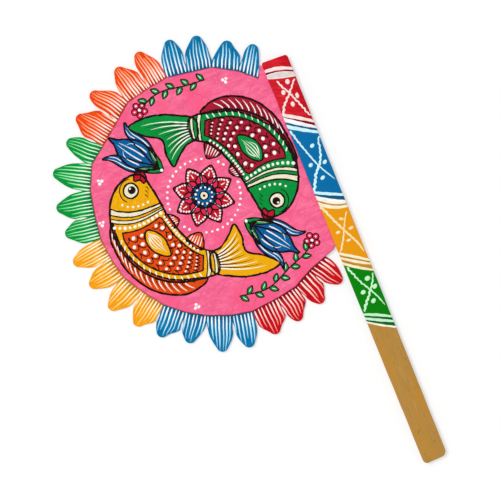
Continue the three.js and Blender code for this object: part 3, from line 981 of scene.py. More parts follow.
def splint_mesh(name):
    family, step = splint_place(name)
    along, across = (ALONG_WARP, ALONG_WEFT) if family == "warp" else (ALONG_WEFT, ALONG_WARP)
    offsets = node_points(name)[:, :2] @ across
    low, high = offsets.min() + SPLINT_ROOM, offsets.max() - SPLINT_ROOM
    places = (low + high) / 2 + SPLINT_COLUMNS * (high - low) / 2
    half = SPLINT_THICK / 2 * SPLINT_EDGE
    foot = polar(*FIRST_PETAL) @ across
    passes = places[1] < foot < places[-2]
    if passes:
        closer = np.sort(np.append(places, foot + FOOT_LINES))
        places, half = closer, np.interp(closer, places, half)
    edges = node_edges(name)
    hits = [line_hits(edges, along, across, offset) for offset in places]
    ends = np.array([(found.min(), found.max()) for found in hits])
    if passes:
        ends = ended_at_rim(ends, along, across, places)
    count = max(12, int((ends[:, 1] - ends[:, 0]).max() / SPLINT_STEP))
    at = ends[:, 0] + np.linspace(0, 1, count)[:, None] * (ends[:, 1] - ends[:, 0])
    height = splint_height(family, step, at, MIDDLE_CROSSING @ along)
    flat = at[..., None] * along + places[:, None] * across
    top, bottom = (lifted(flat, blade_z(flat[..., 0], height + side * half)) for side in (1, -1))
    around = np.append(places, places[::-1])
    grain = grains(around + 7 * step, np.concatenate([at, at[:, ::-1]], axis=1) + 31 * step, 0.0)
    columns = len(around)
    walls = end_wall(0, columns) + end_wall((count - 1) * columns, columns)
    return Build().loft(np.concatenate([top, bottom[:, ::-1]], axis=1), grain, ends=walls).mesh()


bamboo = bamboo_material("bare_bamboo")
for node in MAT_NODES:
    add_piece(node.replace("mat_", "splint_"), splint_mesh(node), [bamboo], "mat_pink", 40, node)
end_grain = bamboo_material("peg_bamboo", upright=True)
for node in PEG_NODES:
    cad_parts[node].data.materials.clear()
    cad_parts[node].data.materials.append(end_grain)

# Petals: lines along a petal lie at shares of its width, with its edges rounded. Petals touch near the mat
# and part in a notch further out: how much each side is drawn in, at what distance from the mat, and over
# what length. The first petal is cut straight beside the handle, through places seen from the blade's centre.

PETAL_COLUMNS = np.array([-1, -0.965, -0.88, -0.66, -0.33, 0, 0.33, 0.66, 0.88, 0.965, 1])
PETAL_DROP = np.array([0.2, 0.05, 0, 0, 0, 0, 0, 0, 0, 0.05, 0.2])
PETAL_ROWS = 30
PETAL_BODY = 0.55
PETAL_LENGTH = 30.0
PETAL_HALF = 10.0
UNDER_MAT = -0.95
TOUCH = 0.45
TOUCH_ENDS = (6.5, 11.0)
NOTCH = (0.8, 13.0, 6.0)
FIRST_SIDE = np.array([(78.0, 81.3), (80.1, 85.4), (84.2, 94.8), (86.2, 99.6), (87.8, 104.4)])
# A stroke keeps clear of the petal's tip and sides, and has at least so many points.
TIP_CLEAR = 1.0
SIDE_CLEAR = 0.6
STROKE_STEP = 0.5
STROKE_LEAST = 8
STROKE_HEIGHT = 0.13


def petal_material(name):
    """Brushed paint that is darker near the mat, as painted shade under the mat's edge, where the strokes
    start.
    """
    colour = PETAL_COLOURS[name][0]
    deep = shaded(colour, 0.74)
    shade = Shade(f"petal_{name}", 0.6)
    grain = shade.grain()
    streak = shade.noise(grain, PETAL_BRISTLES, 3.0)
    patch = shade.noise(shade.position(), PETAL_PATCHES)
    # Painted shade: the paint darkens towards the mat's edge, over the first 12 mm
    base = shade.mix(shade.between(shade.parts(grain)[2], 0.0, 12 * MM), deep, colour)
    tone = shade.mix(shade.between(streak, 0.32, 0.6), shade.mix(0.6, base, deep), base)
    tone = shade.mix(shade.between(patch, 0.5, 0.8), tone, shaded(colour, 1.07))
    return shade.finish(tone, streak, 0.05)


def stroke_material(name):
    """Pale paint, thick where a stroke starts and thinner towards its end, where the petal shows through."""
    ground, first, further = PETAL_COLOURS[name][:3]
    thin = tuple(0.6 * a + 0.4 * b for a, b in zip(further, ground))
    shade = Shade(f"stroke_{name}", 0.55)
    grain = shade.grain()
    along = shade.parts(grain)[2]
    bristles = shade.noise(grain, STROKE_BRISTLES, 3.0)
    tone = shade.mix(shade.between(along, 0.1 * MM, 0.7 * MM), first, further)
    tone = shade.mix(shade.between(along, 0.7 * MM, 1.1 * MM), tone, thin)
    return shade.finish(shade.mix(shade.between(bristles, 0.56, 0.72, 0.5), tone, thin), bristles, 0.03)


def petal_sides(name):
    """The two sides of a petal's outline from its foot to its apex, right side first."""
    points = node_points(name)
    height = points[:, 2] - blade_z(points[:, 0], 0)
    plan = np.unique(points[height > height.mean()][:, :2].round(3), axis=0)
    outward = plan.mean(axis=0) - CENTRE
    around = plan - plan.mean(axis=0)
    plan = plan[np.argsort(np.arctan2(around[:, 1], around[:, 0]))]
    feet = set(np.argsort(np.linalg.norm(plan - CENTRE, axis=1))[:2].tolist())
    first = next(k for k in range(len(plan)) if k in feet and (k - 1) % len(plan) in feet)
    plan = np.roll(plan, -first, axis=0)
    apex = int(np.argmax(plan @ (outward / np.linalg.norm(outward))))
    right, left = plan[: apex + 1], plan[apex:][::-1]
    if name == PETAL_NODES[0]:
        beyond = right[:, 1] > CENTRE[1] + FIRST_SIDE[-1, 1] + 1
        right = np.vstack([right[:1], CENTRE + FIRST_SIDE, right[beyond]])
    share = 1 - (1 - np.linspace(0, 1, PETAL_ROWS)) ** 1.35
    sides = []
    for chain in (right, left):
        path = resample(spline(chain, 6), 0.25)
        sides.append(points_at(share * (len(path) - 1), np.arange(len(path)), path))
    return sides


class Petal:
    """One petal: its sides, its own axis and how it bends."""

    def __init__(self, name, random):
        self.right, self.left = petal_sides(name)
        self.foot = (self.right[0] + self.left[0]) / 2
        self.aside = -left_of(self.right[-1] - self.foot)
        self.ahead = left_of(self.aside)
        self.draw_in(random, name == PETAL_NODES[0])
        self.lift = random.uniform(0.5, 1.5)
        self.cup = random.uniform(-0.12, 0.3)
        self.twist = random.uniform(-0.22, 0.22)

    def draw_in(self, random, first):
        """Moves both sides in where the next petal's notch lies, and out a little where they touch it."""
        pull, middle, span = NOTCH
        for side, sign in ((self.right, -1), (self.left, 1)):
            out = outside(side)
            shift = pull * random.uniform(0.6, 1.2) * np.exp(-((out - middle) / span) ** 2)
            shift -= TOUCH * (1 - smooth_step(*TOUCH_ENDS, out))
            if sign > 0 or not first:
                side += sign * shift[:, None] * self.aside

    def local(self, plan):
        rel = plan - self.foot
        return rel @ self.aside, rel @ self.ahead

    def plan(self, aside, ahead):
        return self.foot + np.multiply.outer(aside, self.aside) + np.multiply.outer(ahead, self.ahead)

    def surface(self, plan, extra=0.0):
        """Points of the petal, which rises, cups and twists more the farther they lie outside the mat."""
        out = np.clip((outside(plan) - 1.0) / PETAL_LENGTH, 0, 1.5)
        aside = self.local(plan)[0] / PETAL_HALF
        bend = self.cup * aside ** 2 + self.twist * aside
        height = UNDER_MAT + self.lift * out ** 1.7 + bend * np.minimum(out * 2, 1)
        return lifted(plan, blade_z(plan[..., 0], height + extra))


def add_petal_body(build, petal):
    share = (PETAL_COLUMNS[:, None] + 1) / 2
    plan = petal.left[:, None] * (1 - share) + petal.right[:, None] * share
    bottom = petal.surface(plan, PETAL_DROP - PETAL_BODY)[:, ::-1]
    rings = np.concatenate([petal.surface(plan, -PETAL_DROP), bottom], axis=1)
    plan = rings[..., :2]
    build.loft(rings, grains(*petal.local(plan), outside(plan)))


def add_petal_strokes(build, petal, random, apart, width):
    """Strokes that start side by side at the mat's edge, follow the petal's sides and thin out."""
    left_side, left_ahead = petal.local(petal.left)
    right_side, right_ahead = petal.local(petal.right)
    tip = right_ahead[-1] - TIP_CLEAR
    ahead = np.arange(4.0, tip, STROKE_STEP)
    left = np.interp(ahead, left_ahead, left_side)
    right = np.interp(ahead, right_ahead, right_side)
    rim = int(np.argmax(outside(petal.plan((left + right) / 2, ahead)) > 0))
    count = int(round((right[rim] - left[rim] - 1.0) / apart))
    lean = random.uniform(-0.07, 0.07)
    follow = random.uniform(0.35, 0.6)
    for index in range(count):
        share = (index + 0.5 + random.uniform(-0.12, 0.12)) / count
        start = left[rim] + share * (right[rim] - left[rim])
        aside = start + (left + share * (right - left) - start) * follow + lean * (ahead - ahead[rim])
        plan = petal.plan(aside, ahead)
        fits = (outside(plan) > 0.3 + random.uniform(0, 1.0)) & (ahead < tip)
        fits &= np.minimum(aside - left, right - aside) > SIDE_CLEAR
        places = np.flatnonzero(fits)
        if len(places) < STROKE_LEAST:
            continue
        # A stroke is one unbroken run of places.
        places = places[: 1 + int(np.argmax(np.diff(np.append(places, len(plan) + 1)) > 1))]
        reach = max(STROKE_LEAST, int(len(places) * min(1.0, random.uniform(0.72, 1.35))))
        path = plan[places[:reach]]
        bend = random.uniform(-0.4, 0.4) * np.linspace(0, 1, len(path)) ** 2
        path = path + bend[:, None] * petal.aside
        half = width / 2 * random.uniform(0.7, 1.2) * tapered(len(path), 0.55, 0.2, 0.2, 0.55)
        add_stroke(build, petal.surface(path), half, STROKE_HEIGHT, kind=1)


def make_petals():
    random = np.random.default_rng(SEED)
    materials = {name: [petal_material(name), stroke_material(name)] for name in PETAL_COLOURS}
    for node in PETAL_NODES:
        colour = node.split("_")[2]
        petal = Petal(node, random)
        build = Build()
        add_petal_body(build, petal)
        add_petal_strokes(build, petal, random, *PETAL_COLOURS[colour][3:])
        add_piece("painted_" + node, build.mesh(), materials[colour], f"petal_{colour}", 50, node)


make_petals()

# Front of the blade: one coat of pink paint over the plait, and the picture painted on it. The coat's grid,
# how far it hangs over the mat's edge, how far its rounded edge reaches in, the insets and heights of the
# lines below that edge, its own height, and how high the splints' ridges show

SKIN_STEP = 0.78
SKIN_OVERHANG = 0.14
SKIN_EDGE = 0.35
SKIN_RINGS = ((0.0, 0.55), (0.0, -0.12), (SKIN_EDGE, -0.05))
SKIN_BASE = 0.68
ARCH = 0.32
STEP_WIDTH = 1.5
INTO_SPLIT = 1.2
RIM_STEP = 0.25
PICTURE_SHIFT = np.array([-9.0, 0.0])
PICTURE_CENTRE = CENTRE + PICTURE_SHIFT
# Distances to an outline are worked out this far and no farther.
FAR = 3.0
# The areas' paint, from the lowest layer to the highest
LAYERS = {
    "amber": (254, 182, 6),
    "orange": (240, 78, 10),
    "blue": (0, 98, 166),
    "green": (0, 152, 60),
    "maroon": (178, 24, 50),
    "crimson": (204, 20, 44),
    "rose": (240, 40, 86),
    "cream": (255, 246, 216),
    "dark": INK,
}
LINE_HEIGHT = 0.1
DOT_HEIGHT = 0.28
INK_DOT_HEIGHT = 0.15
INK_WEIGHT = 1.22
# How lines narrow: relative width at both ends, and over what share of the line
SOFT_ENDS = (0.5, 0.5, 0.12, 0.12)
FULL_ENDS = (1.0, 1.0, 0.1, 0.1)
FADING = (0.8, 0.1, 0.1, 0.8)
HAIR = (0.6, 0.0, 0.15, 0.8)


def spot(radius, degrees):
    """Point of the picture from its middle, which lies midway between the handle and the far edge."""
    return polar(radius, degrees) + PICTURE_SHIFT


def plait_relief(plan):
    """Height of the plait's ridges as they show through the paint."""
    rel = (plan - MIDDLE_CROSSING) / PITCH
    places = np.stack([rel @ ALONG_WEFT, rel @ ALONG_WARP])
    cells = np.round(places)
    across, along = places - cells
    warp = cells.sum(axis=0) % 2 == 0
    run, width = np.where(warp, along, across), np.where(warp, across, along)
    return ARCH * np.cos(math.pi * run) * smooth_step(0, STEP_WIDTH, (0.5 - np.abs(width)) * PITCH)


def on_skin(plan):
    """Points of the painted face, which is a little lower at the mat's edge."""
    plan = np.asarray(plan, float)
    x, y = plan[..., 0], plan[..., 1]
    slow = 0.035 * np.sin(x / 9.0 + 0.7 * np.sin(y / 14.0)) + 0.03 * np.sin(y / 7.0 + 1.3)
    height = SKIN_BASE + plait_relief(plan) + slow - 0.12 * (1 - smooth_step(-0.2, 1.6, inward(plan)))
    return lifted(plan, blade_z(x, height))


def signed_distance(points, outline):
    """Distance of points to a closed outline, negative inside, for those that lie near it."""
    result = np.full(len(points), FAR)
    low, high = outline.min(axis=0) - FAR, outline.max(axis=0) + FAR
    near = np.flatnonzero(((points > low) & (points < high)).all(axis=1))
    x, y = points[near].T
    best = np.full(len(near), FAR ** 2)
    inside = np.zeros(len(near), bool)
    for start, run in zip(outline, np.roll(outline, -1, axis=0) - outline):
        along = ((x - start[0]) * run[0] + (y - start[1]) * run[1]) / max(run @ run, 1e-12)
        along = np.clip(along, 0, 1)
        best = np.minimum(best, (x - start[0] - along * run[0]) ** 2 + (y - start[1] - along * run[1]) ** 2)
        if run[1]:
            crosses = (start[1] > y) != (start[1] + run[1] > y)
            inside ^= crosses & (x < start[0] + run[0] * (y - start[1]) / run[1])
    result[near] = np.where(inside, -1, 1) * np.sqrt(best)
    return result


class Picture:
    """Collects the painted areas and the lines and dots over them."""

    def __init__(self):
        self.areas = []
        self.ink = Build()
        self.white = Build()
        self.random = np.random.default_rng(SEED + 1)

    def area(self, layer, outline, *holes):
        self.areas.append((layer, outline, holes))

    def line(self, build, path, width, taper=SOFT_ENDS):
        """A painted line of that width along a path on the skin."""
        path = resample(path, 1.0)
        count = len(path)
        waver = 1 + 0.1 * np.sin(np.arange(count) * 0.55 + self.random.uniform(0, 6))
        weight = INK_WEIGHT if build is self.ink else 1.0
        add_stroke(build, on_skin(path), weight * width / 2 * waver * tapered(count, *taper), LINE_HEIGHT)

    def outline(self, path, width):
        """A closed ink line."""
        self.line(self.ink, np.vstack([path, path[:3]]), width, FULL_ENDS)

    def shape(self, layer, outline, width, *holes):
        """A painted area with a closed ink line round it."""
        self.area(layer, outline, *holes)
        self.outline(outline, width)

    def drop(self, build, point, radius, height):
        """A dot of paint that is not quite round."""
        turn = self.random.uniform(0, 180)
        size = radius * self.random.uniform(0.88, 1.12)
        add_dot(build, on_skin(point), (size * 1.07, size * 0.93), turn, height)

    def dot(self, point, radius):
        self.drop(self.white, point, radius, DOT_HEIGHT)


def leaf(start, end, half_width):
    """Closed outline of a pointed leaf between two points."""
    t = np.linspace(0, 1, 7)[:, None]
    middle = start + t * (end - start)
    swell = half_width * np.sin(math.pi * t ** 0.85) * left_of(end - start)
    return spline(np.vstack([middle + swell, (middle - swell)[-2:0:-1]]), 5, closed=True)


# A fish swims on an arc round the picture's middle. Its shape is given along that arc, from its mouth, and
# across it, and it lies at that distance from the middle, turned by that much a radian and stretched across.
FISH_RADIUS = 62.0
FISH_TURN = 58.0
FISH_GIRTH = 1.15
FISH_BODY = (
    (0, 0), (3, 7.5), (12, 16), (26, 22.5), (44, 25.5), (64, 25.5), (86, 21), (106, 13.5), (121, 8),
    (121, -7), (106, -11.5), (86, -17), (64, -20.5), (44, -20.5), (26, -18), (12, -12.5), (3, -6),
)
FISH_TAIL = (
    (116, 7.5), (128, 14), (142, 22), (158, 28), (155, 14), (147, 1.5), (153, -10), (156, -20.5),
    (142, -16.5), (128, -10.5), (116, -7),
)
BELLY_FINS = (
    ((45, -19), (51, -24.5), (63, -26), (67, -19)),
    ((87, -15.5), (95, -22.5), (106, -23), (108, -10.5)),
)
SIDE_FIN = ((50, 0), (57, 5.5), (68, 6.5), (80, 1), (69, -6.5), (57, -6))
LIPS = ((-4, 0.5), (0.5, 5), (6.5, 3.2), (4.4, -0.8), (6.5, -4.8), (0.5, -5.2))
CHEEK_DOTS = ((25.0, -8.6), (26.8, -4.6), (27.6, -0.4), (27.6, 3.8), (26.8, 8.0), (25.0, 12.2))
EYE = np.array([14.5, 5.0])
GILL_BULGE = 5.5
SCALES_ACROSS = 5


def back_fin(rise):
    """Outline of a back fin whose front stands up so much, its outer line first."""
    outer = ((35, 23), (42, 27 + 0.6 * rise), (54, 28.5 + rise), (68, 32 + 0.4 * rise), (84, 32), (100, 26))
    return (*outer, (112, 13.5), (104, 13), (86, 19), (64, 23.5), (46, 24))


class Fish:
    """One fish of the picture. Its mouth lies in a direction from the picture's middle."""

    def __init__(self, picture, head, fin, base, flank):
        self.picture, self.head, self.fin, self.base, self.flank = picture, head, fin, base, flank
        self.body = spline(FISH_BODY, 10, closed=True)
        outer, inner = self.body[self.body[:, 1] >= 0], self.body[self.body[:, 1] <= 0]
        self.outer, self.inner = outer[np.argsort(outer[:, 0])], inner[np.argsort(inner[:, 0])]
        self.side_fin = self.smooth(SIDE_FIN)

    def back(self, s):
        return np.interp(s, *self.outer.T)

    def belly(self, s):
        return np.interp(s, *self.inner.T)

    def at(self, s, t):
        """Points of the face from distances along and across the fish's middle line."""
        s, t = np.broadcast_arrays(np.asarray(s, float), np.asarray(t, float))
        return spot(FISH_RADIUS + FISH_GIRTH * t, self.head + np.degrees(s / FISH_TURN))

    def smooth(self, points, steps=8):
        return self.at(*spline(points, steps, closed=True).T)

    def gill(self, s, t):
        """Lines across the fish bulge towards its tail."""
        return s - GILL_BULGE * (1 - np.cos(np.clip(t / 24.0, -1, 1) * math.pi / 2))

    def across(self, s, inset=0.0):
        """A curved line across the body from belly to back."""
        share = np.linspace(-1, 1, 25)
        t = np.where(share > 0, share * (self.back(s - 3) - inset), -share * (self.belly(s - 3) + inset))
        return self.at(self.gill(s, t), t)

    def bands(self, ends, lines):
        """Cream bands across the body, and ink lines across it at places and of widths."""
        for first, second in ends:
            self.picture.area("cream", np.vstack([self.across(first), self.across(second)[::-1]]))
        for s, width in lines:
            self.picture.line(self.picture.ink, self.across(s), width, FULL_ENDS)

    def ring(self, centre, radius, first=0, last=360):
        """Round line about a point of the fish."""
        return self.at(*(centre + radius * unit(np.arange(first, last, 12))).T)

    def draw(self):
        self.draw_tail()
        self.draw_back_fin()
        self.draw_belly_fins()
        self.draw_body()
        self.draw_scales()
        self.draw_trim()
        self.draw_head()

    def draw_tail(self):
        p = self.picture
        p.shape(self.base, self.smooth(FISH_TAIL), 2.0)
        step = np.linspace(0, 1, 8)
        for index, share in enumerate(np.linspace(-0.88, 0.88, 13)):
            length = 21.5 + 9.5 * abs(share) ** 1.1
            spread = 24.5 if share > 0 else 17.5
            path = self.at(122.5 + length * step, share * (7.0 + (spread - 7.0) * step ** 1.2))
            build, width = (p.ink, 1.0) if index % 2 else (p.white, 1.5)
            p.line(build, path, width, (0.7, 0.0, 0.15, 0.8))

    def draw_back_fin(self):
        p = self.picture
        p.shape(self.flank, self.smooth(self.fin), 2.0)
        outer = spline(self.fin[: len(self.fin) * 2 // 3 + 1], 8)
        share = np.linspace(0, 1, 8)
        for index, s in enumerate(np.arange(self.fin[0][0] + 2, outer[:, 0].max() - 6, 2.0)):
            lean = 5.0 + 0.02 * s
            top = np.interp(s + lean, *outer.T) - 1.7
            base = self.back(s) + 1.0
            if top - base < 1.8:
                continue
            reach = p.random.uniform(0.6, 0.85) if index % 2 else 0.95
            path = self.at(s + lean * share ** 1.4 * reach, base + (top - base) * share * reach)
            if index % 2:
                p.line(p.ink, path, 0.9, (0.9, 0.0, 0.1, 0.8))
            else:
                p.line(p.white, path, 1.4, (0.9, 0.1, 0.1, 0.7))

    def draw_belly_fins(self):
        p = self.picture
        for points in BELLY_FINS:
            p.shape(self.flank, self.smooth(points), 1.7)
            low = min(t for _, t in points)
            for s in np.arange(points[0][0] + 4, points[-1][0] - 2, 3.4):
                base = self.belly(s) - 1.0
                path = self.at([s, s + 1.5, s + 2.5], [base, (base + low) / 2, low + 1.6])
                p.line(p.white, path, 1.3, FADING)

    def draw_body(self):
        p = self.picture
        s = np.linspace(47, 109, 34)
        upper = self.at(self.gill(s, 18) + 3, self.back(s) - 6.2)
        lower = self.at(self.gill(s, 14) + 2, self.belly(s) + 5.2)
        front = self.across(46.5, inset=5.6)
        p.shape(self.base, self.at(*self.body.T), 2.2)
        p.shape(self.flank, np.vstack([upper, lower[::-1], front[1:-1]]), 1.5, self.side_fin)
        p.outline(self.side_fin, 1.7)
        for t in (-4.4, -2.2, 0.0, 2.2, 4.4):
            path = self.at([52.5 + 0.8 * abs(t), 63, 76 - 1.6 * abs(t)], [t * 0.5, t + 0.1, t * 0.5 + 0.4])
            p.line(p.white, spline(path, 5), 1.2, (0.5, 0.0, 0.2, 0.8))

    def draw_scales(self):
        """Rows of scales that narrow with the body, each with a drop of white."""
        p = self.picture
        arc = unit(np.linspace(-84, 84, 13))
        for row, s in enumerate(np.arange(52.0, 108.0, 6.4)):
            top, bottom = self.back(s) - 6.6, self.belly(s) + 5.6
            width = (top - bottom) / SCALES_ACROSS
            odd = row % 2
            for column in range(SCALES_ACROSS + 1 - odd):
                t = bottom + (column + 0.5 * odd) * width
                arc_t = np.clip(t + 0.5 * width * arc[:, 1], bottom - 0.2, top + 0.2)
                path = self.at(self.gill(s + 5.2 * arc[:, 0] - 2.4, arc_t), arc_t)
                keep = signed_distance(path, self.side_fin) >= 0.6
                if keep.sum() > 5 and keep[len(keep) // 2]:
                    p.line(p.ink, path[keep], 1.05, (0.6, 0.6, 0.2, 0.2))
                if bottom + 0.8 < t < top - 0.8:
                    centre = self.at(self.gill(s - 0.4, t), t)
                    if signed_distance(centre[None], self.side_fin)[0] >= 2.2:
                        p.dot(centre, min(1.75, width * 0.27))

    def draw_trim(self):
        """Hatching along the back, drops along the belly and cross bands at the root of the tail."""
        p = self.picture
        for s in np.arange(48.0, 108.0, 4.2):
            high = self.back(s)
            path = self.at([s - 1.0, s + 1.2], [high - 4.7, high - 1.9])
            p.line(p.white, path, 1.5, (0.8, 0.4, 0.2, 0.5))
        for s in np.arange(49.0, 108.0, 4.3) - 2:
            p.dot(self.at(s, self.belly(s) + 2.8), 1.25)
        self.bands(((112.5, 115.5), (118.5, 121.0)), ((s, 1.2) for s in (112.5, 115.5, 118.5, 121.0)))

    def draw_head(self):
        p = self.picture
        self.bands(((31.5, 35.5), (38.0, 40.5)), ((31.5, 1.7), (35.5, 1.3), (38.0, 1.1), (40.5, 1.3)))
        for t in np.arange(-16.5, 23.0, 3.9):
            if self.belly(40) + 2 < t < self.back(40) - 2:
                p.dot(self.at(self.gill(43.4, t), t), 1.6)
        p.area("cream", self.ring(EYE, 5.8))
        p.area("dark", self.ring(EYE - 0.6, 3.2))
        p.outline(self.ring(EYE, 6.0), 1.8)
        p.dot(self.at(*(EYE + (-1.6, 0.9))), 0.9)
        p.line(p.ink, self.ring(EYE, 9.2, 20, 170), 1.1)
        p.shape("crimson", self.smooth(LIPS, 6), 1.6)
        p.line(p.ink, self.at([-3.4, 0.5, 4.4], [0.4, -0.5, -0.8]), 1.0)
        for point in CHEEK_DOTS:
            p.dot(self.at(*point), 1.2)
        for s in (9.0, 13.0, 17.0):
            p.line(p.ink, self.at([s, s + 2.0, s + 4.6], [-6.4, -8.6, -9.2]), 0.9, (0.8, 0, 0.2, 0.7))


def draw_lotus(p):
    """A lotus in the middle: two rings of pointed petals round a blue heart."""
    circle = np.arange(0, 360, 10.0)
    heart = spot(11.5, circle)
    for angle in np.arange(8) * 45.0 + 10:
        petal = leaf(spot(9.0, angle), spot(29.0, angle), 7.6)
        p.shape("crimson", petal, 1.7, heart)
        middle = petal.mean(axis=0)
        for point in resample(np.vstack([petal, petal[:1]]), 3.5)[:-1]:
            place = middle + (point - middle) * 0.72
            if np.linalg.norm(place - PICTURE_CENTRE) > 18.0:
                p.dot(place, 1.0)
        p.line(p.white, [spot(18.5, angle), spot(23.0, angle)], 1.4, (0.8, 0.2, 0.1, 0.8))
    for angle in np.arange(8) * 45.0 + 32.5:
        p.shape("rose", leaf(spot(7.0, angle), spot(21.0, angle), 5.4), 1.5, heart)
        p.line(p.white, [spot(12.0, angle), spot(18.5, angle)], 1.5, (0.9, 0.2, 0.1, 0.8))
    p.shape("blue", heart, 1.8)
    p.shape("cream", spot(4.0, circle), 1.3)
    p.drop(p.ink, PICTURE_CENTRE, 1.4, INK_DOT_HEIGHT)
    for angle in np.arange(0, 360, 30.0):
        p.dot(spot(7.8, angle), 1.05)


# Outlines of a bud's parts, as distances outward and sideways from its own axis
BUD_WING = ((52, 0), (58, 9), (70, 16), (82, 17), (91, 17), (98, 20), (92, 12), (82, 8), (70, 5), (60, 2))
BUD_HALF = ((50, 0), (56, 6), (66, 11), (78, 12), (88, 8), (95, 3))
BUD_SEPAL = ((44, 0), (50, 6), (60, 10.5), (68, 12), (60, 5), (53, 1.5))


def draw_bud(p, angle):
    """A blue bud with green sepals that stands between the head of one fish and the tail of the other."""
    axes = np.array([unit(angle), unit(angle + 90)])

    def outline(points, side=1, closed=True):
        return spline(PICTURE_CENTRE + np.array(points) * (1, side) @ axes, 6, closed)

    def line(points, side, width):
        p.line(p.white, outline(points, side, False), width, HAIR)

    for side in (-1, 1):
        p.shape("blue", outline(BUD_WING, side), 1.7)
        line(((67, 12.8), (76, 14.6), (86, 14.8), (94, 17.2)), side, 1.3)
        line(((82, 12.2), (88, 12.2), (94, 14.8)), side, 1.1)
    p.shape("blue", outline((*BUD_HALF, (103, 0), *((r, -a) for r, a in BUD_HALF[:0:-1]))), 2.0)
    for share in (-0.62, -0.21, 0.21, 0.62):
        line(((66, 11), (74, 12.5), (82, 11), (97 - 18 * abs(share), 5)), share, 1.5)
    for side in (-1, 1):
        p.shape("green", outline(BUD_SEPAL, side), 1.5)
        line(((52, 3.6), (57, 6.0), (63, 9)), side, 1.0)
    p.dot(PICTURE_CENTRE + 45.5 * axes[0], 1.6)


def draw_vine(p, first, last, radius):
    """A stem along the rim with leaves on both sides of it and a blossom at its end."""
    def stem(angle):
        return polar(radius + 1.5 * np.sin(np.radians(12 * angle)), angle)

    p.line(p.ink, stem(np.linspace(first, last, 40)), 1.3)
    for index, angle in enumerate(np.arange(first + 1.0, last - 4.0, 3.9)):
        foot = stem(angle)
        end = foot + 9.0 * unit(angle + 90 + (46 if index % 2 else -46))
        p.shape("green", leaf(foot, end, 2.5), 1.2)
        p.line(p.white, [foot + 0.3 * (end - foot), foot + 0.8 * (end - foot)], 1.0, (0.6, 0, 0.2, 0.8))
    circle = unit(np.arange(0, 360, 30.0))
    for direction in unit(np.arange(5) * 72.0 + last):
        centre = stem(last) + 4.9 * direction
        p.shape("rose", spline(centre + 2.9 * circle, 3, closed=True), 1.1)
        p.dot(centre, 0.95)
    p.dot(stem(last), 1.5)


# Directions of the buds. Each vine has the directions of its ends and how far out it runs, and each cluster
# of dots has its direction and how far out it lies.
BUD_DIRECTIONS = (127.0, 307.0)
VINES = ((72, 110, 103), (262, 312, 101))
CLUSTERS = ((153, 105), (174, 107), (240, 107), (62, 104))


def draw_picture():
    """Two fish that circle a lotus, with buds, vines and clusters of three dots in the spaces between."""
    p = Picture()
    fish = [
        Fish(p, 140.0, back_fin(2.5), "amber", "orange"),
        Fish(p, -40.0, back_fin(0.0), "green", "maroon"),
    ]
    for angle in BUD_DIRECTIONS:
        draw_bud(p, angle)
    draw_lotus(p)
    for one in fish:
        one.draw()
    fins = [one.smooth(points) for one in fish for points in BELLY_FINS]
    for point in spot(34.0, np.arange(0, 360, 9.0)):
        if all(signed_distance(point[None], fin)[0] >= 2.0 for fin in fins):
            p.dot(point, 1.25)
    for vine in VINES:
        draw_vine(p, *vine)
    for angle, radius in CLUSTERS:
        for turn in (90, 210, 330):
            p.dot(polar(radius, angle) + 1.9 * unit(turn + angle), 1.5)
    return p


def skin_outline():
    """Outline of the coat: round the mat's edge, up inside the handle's split and round the upper corner."""
    split = HANDLE_SIDE + INTO_SPLIT
    angles = np.arange(FIRST_PETAL[1] + 0.4, 360.0, RIM_STEP)
    rim = polar(rim_at(angles) + SKIN_OVERHANG, angles)
    rim = rim[: int(np.argmax(rim[:, 0] > split))]
    rim[-1, 0] = split
    foot = polar(FIRST_PETAL[0] + SKIN_OVERHANG, FIRST_PETAL[1]) - (SKIN_OVERHANG, 0)
    tip = corner_point()
    turns = [rim[-1], (split, tip[1] - MAT_CORNER[0] - INTO_SPLIT), tip, foot]
    legs = [np.vstack([foot, rim])] + [turns[k:k + 2] for k in range(3)]
    return np.vstack([resample(leg, SKIN_STEP)[:-1] for leg in legs])


def drawn_in(loop, depth):
    """A closed line moved towards its inside."""
    return loop + depth * left_of(np.roll(loop, -1, axis=0) - np.roll(loop, 1, axis=0))


def area_depth(picture, layer, plan):
    """Distance of points to the painted areas of one layer, negative inside them."""
    value = np.full(len(plan), FAR)
    for _, outline, holes in (area for area in picture.areas if area[0] == layer):
        near = signed_distance(plan, outline)
        for hole in holes:
            near = np.maximum(near, -signed_distance(plan, hole))
        value = np.minimum(value, near)
    return value


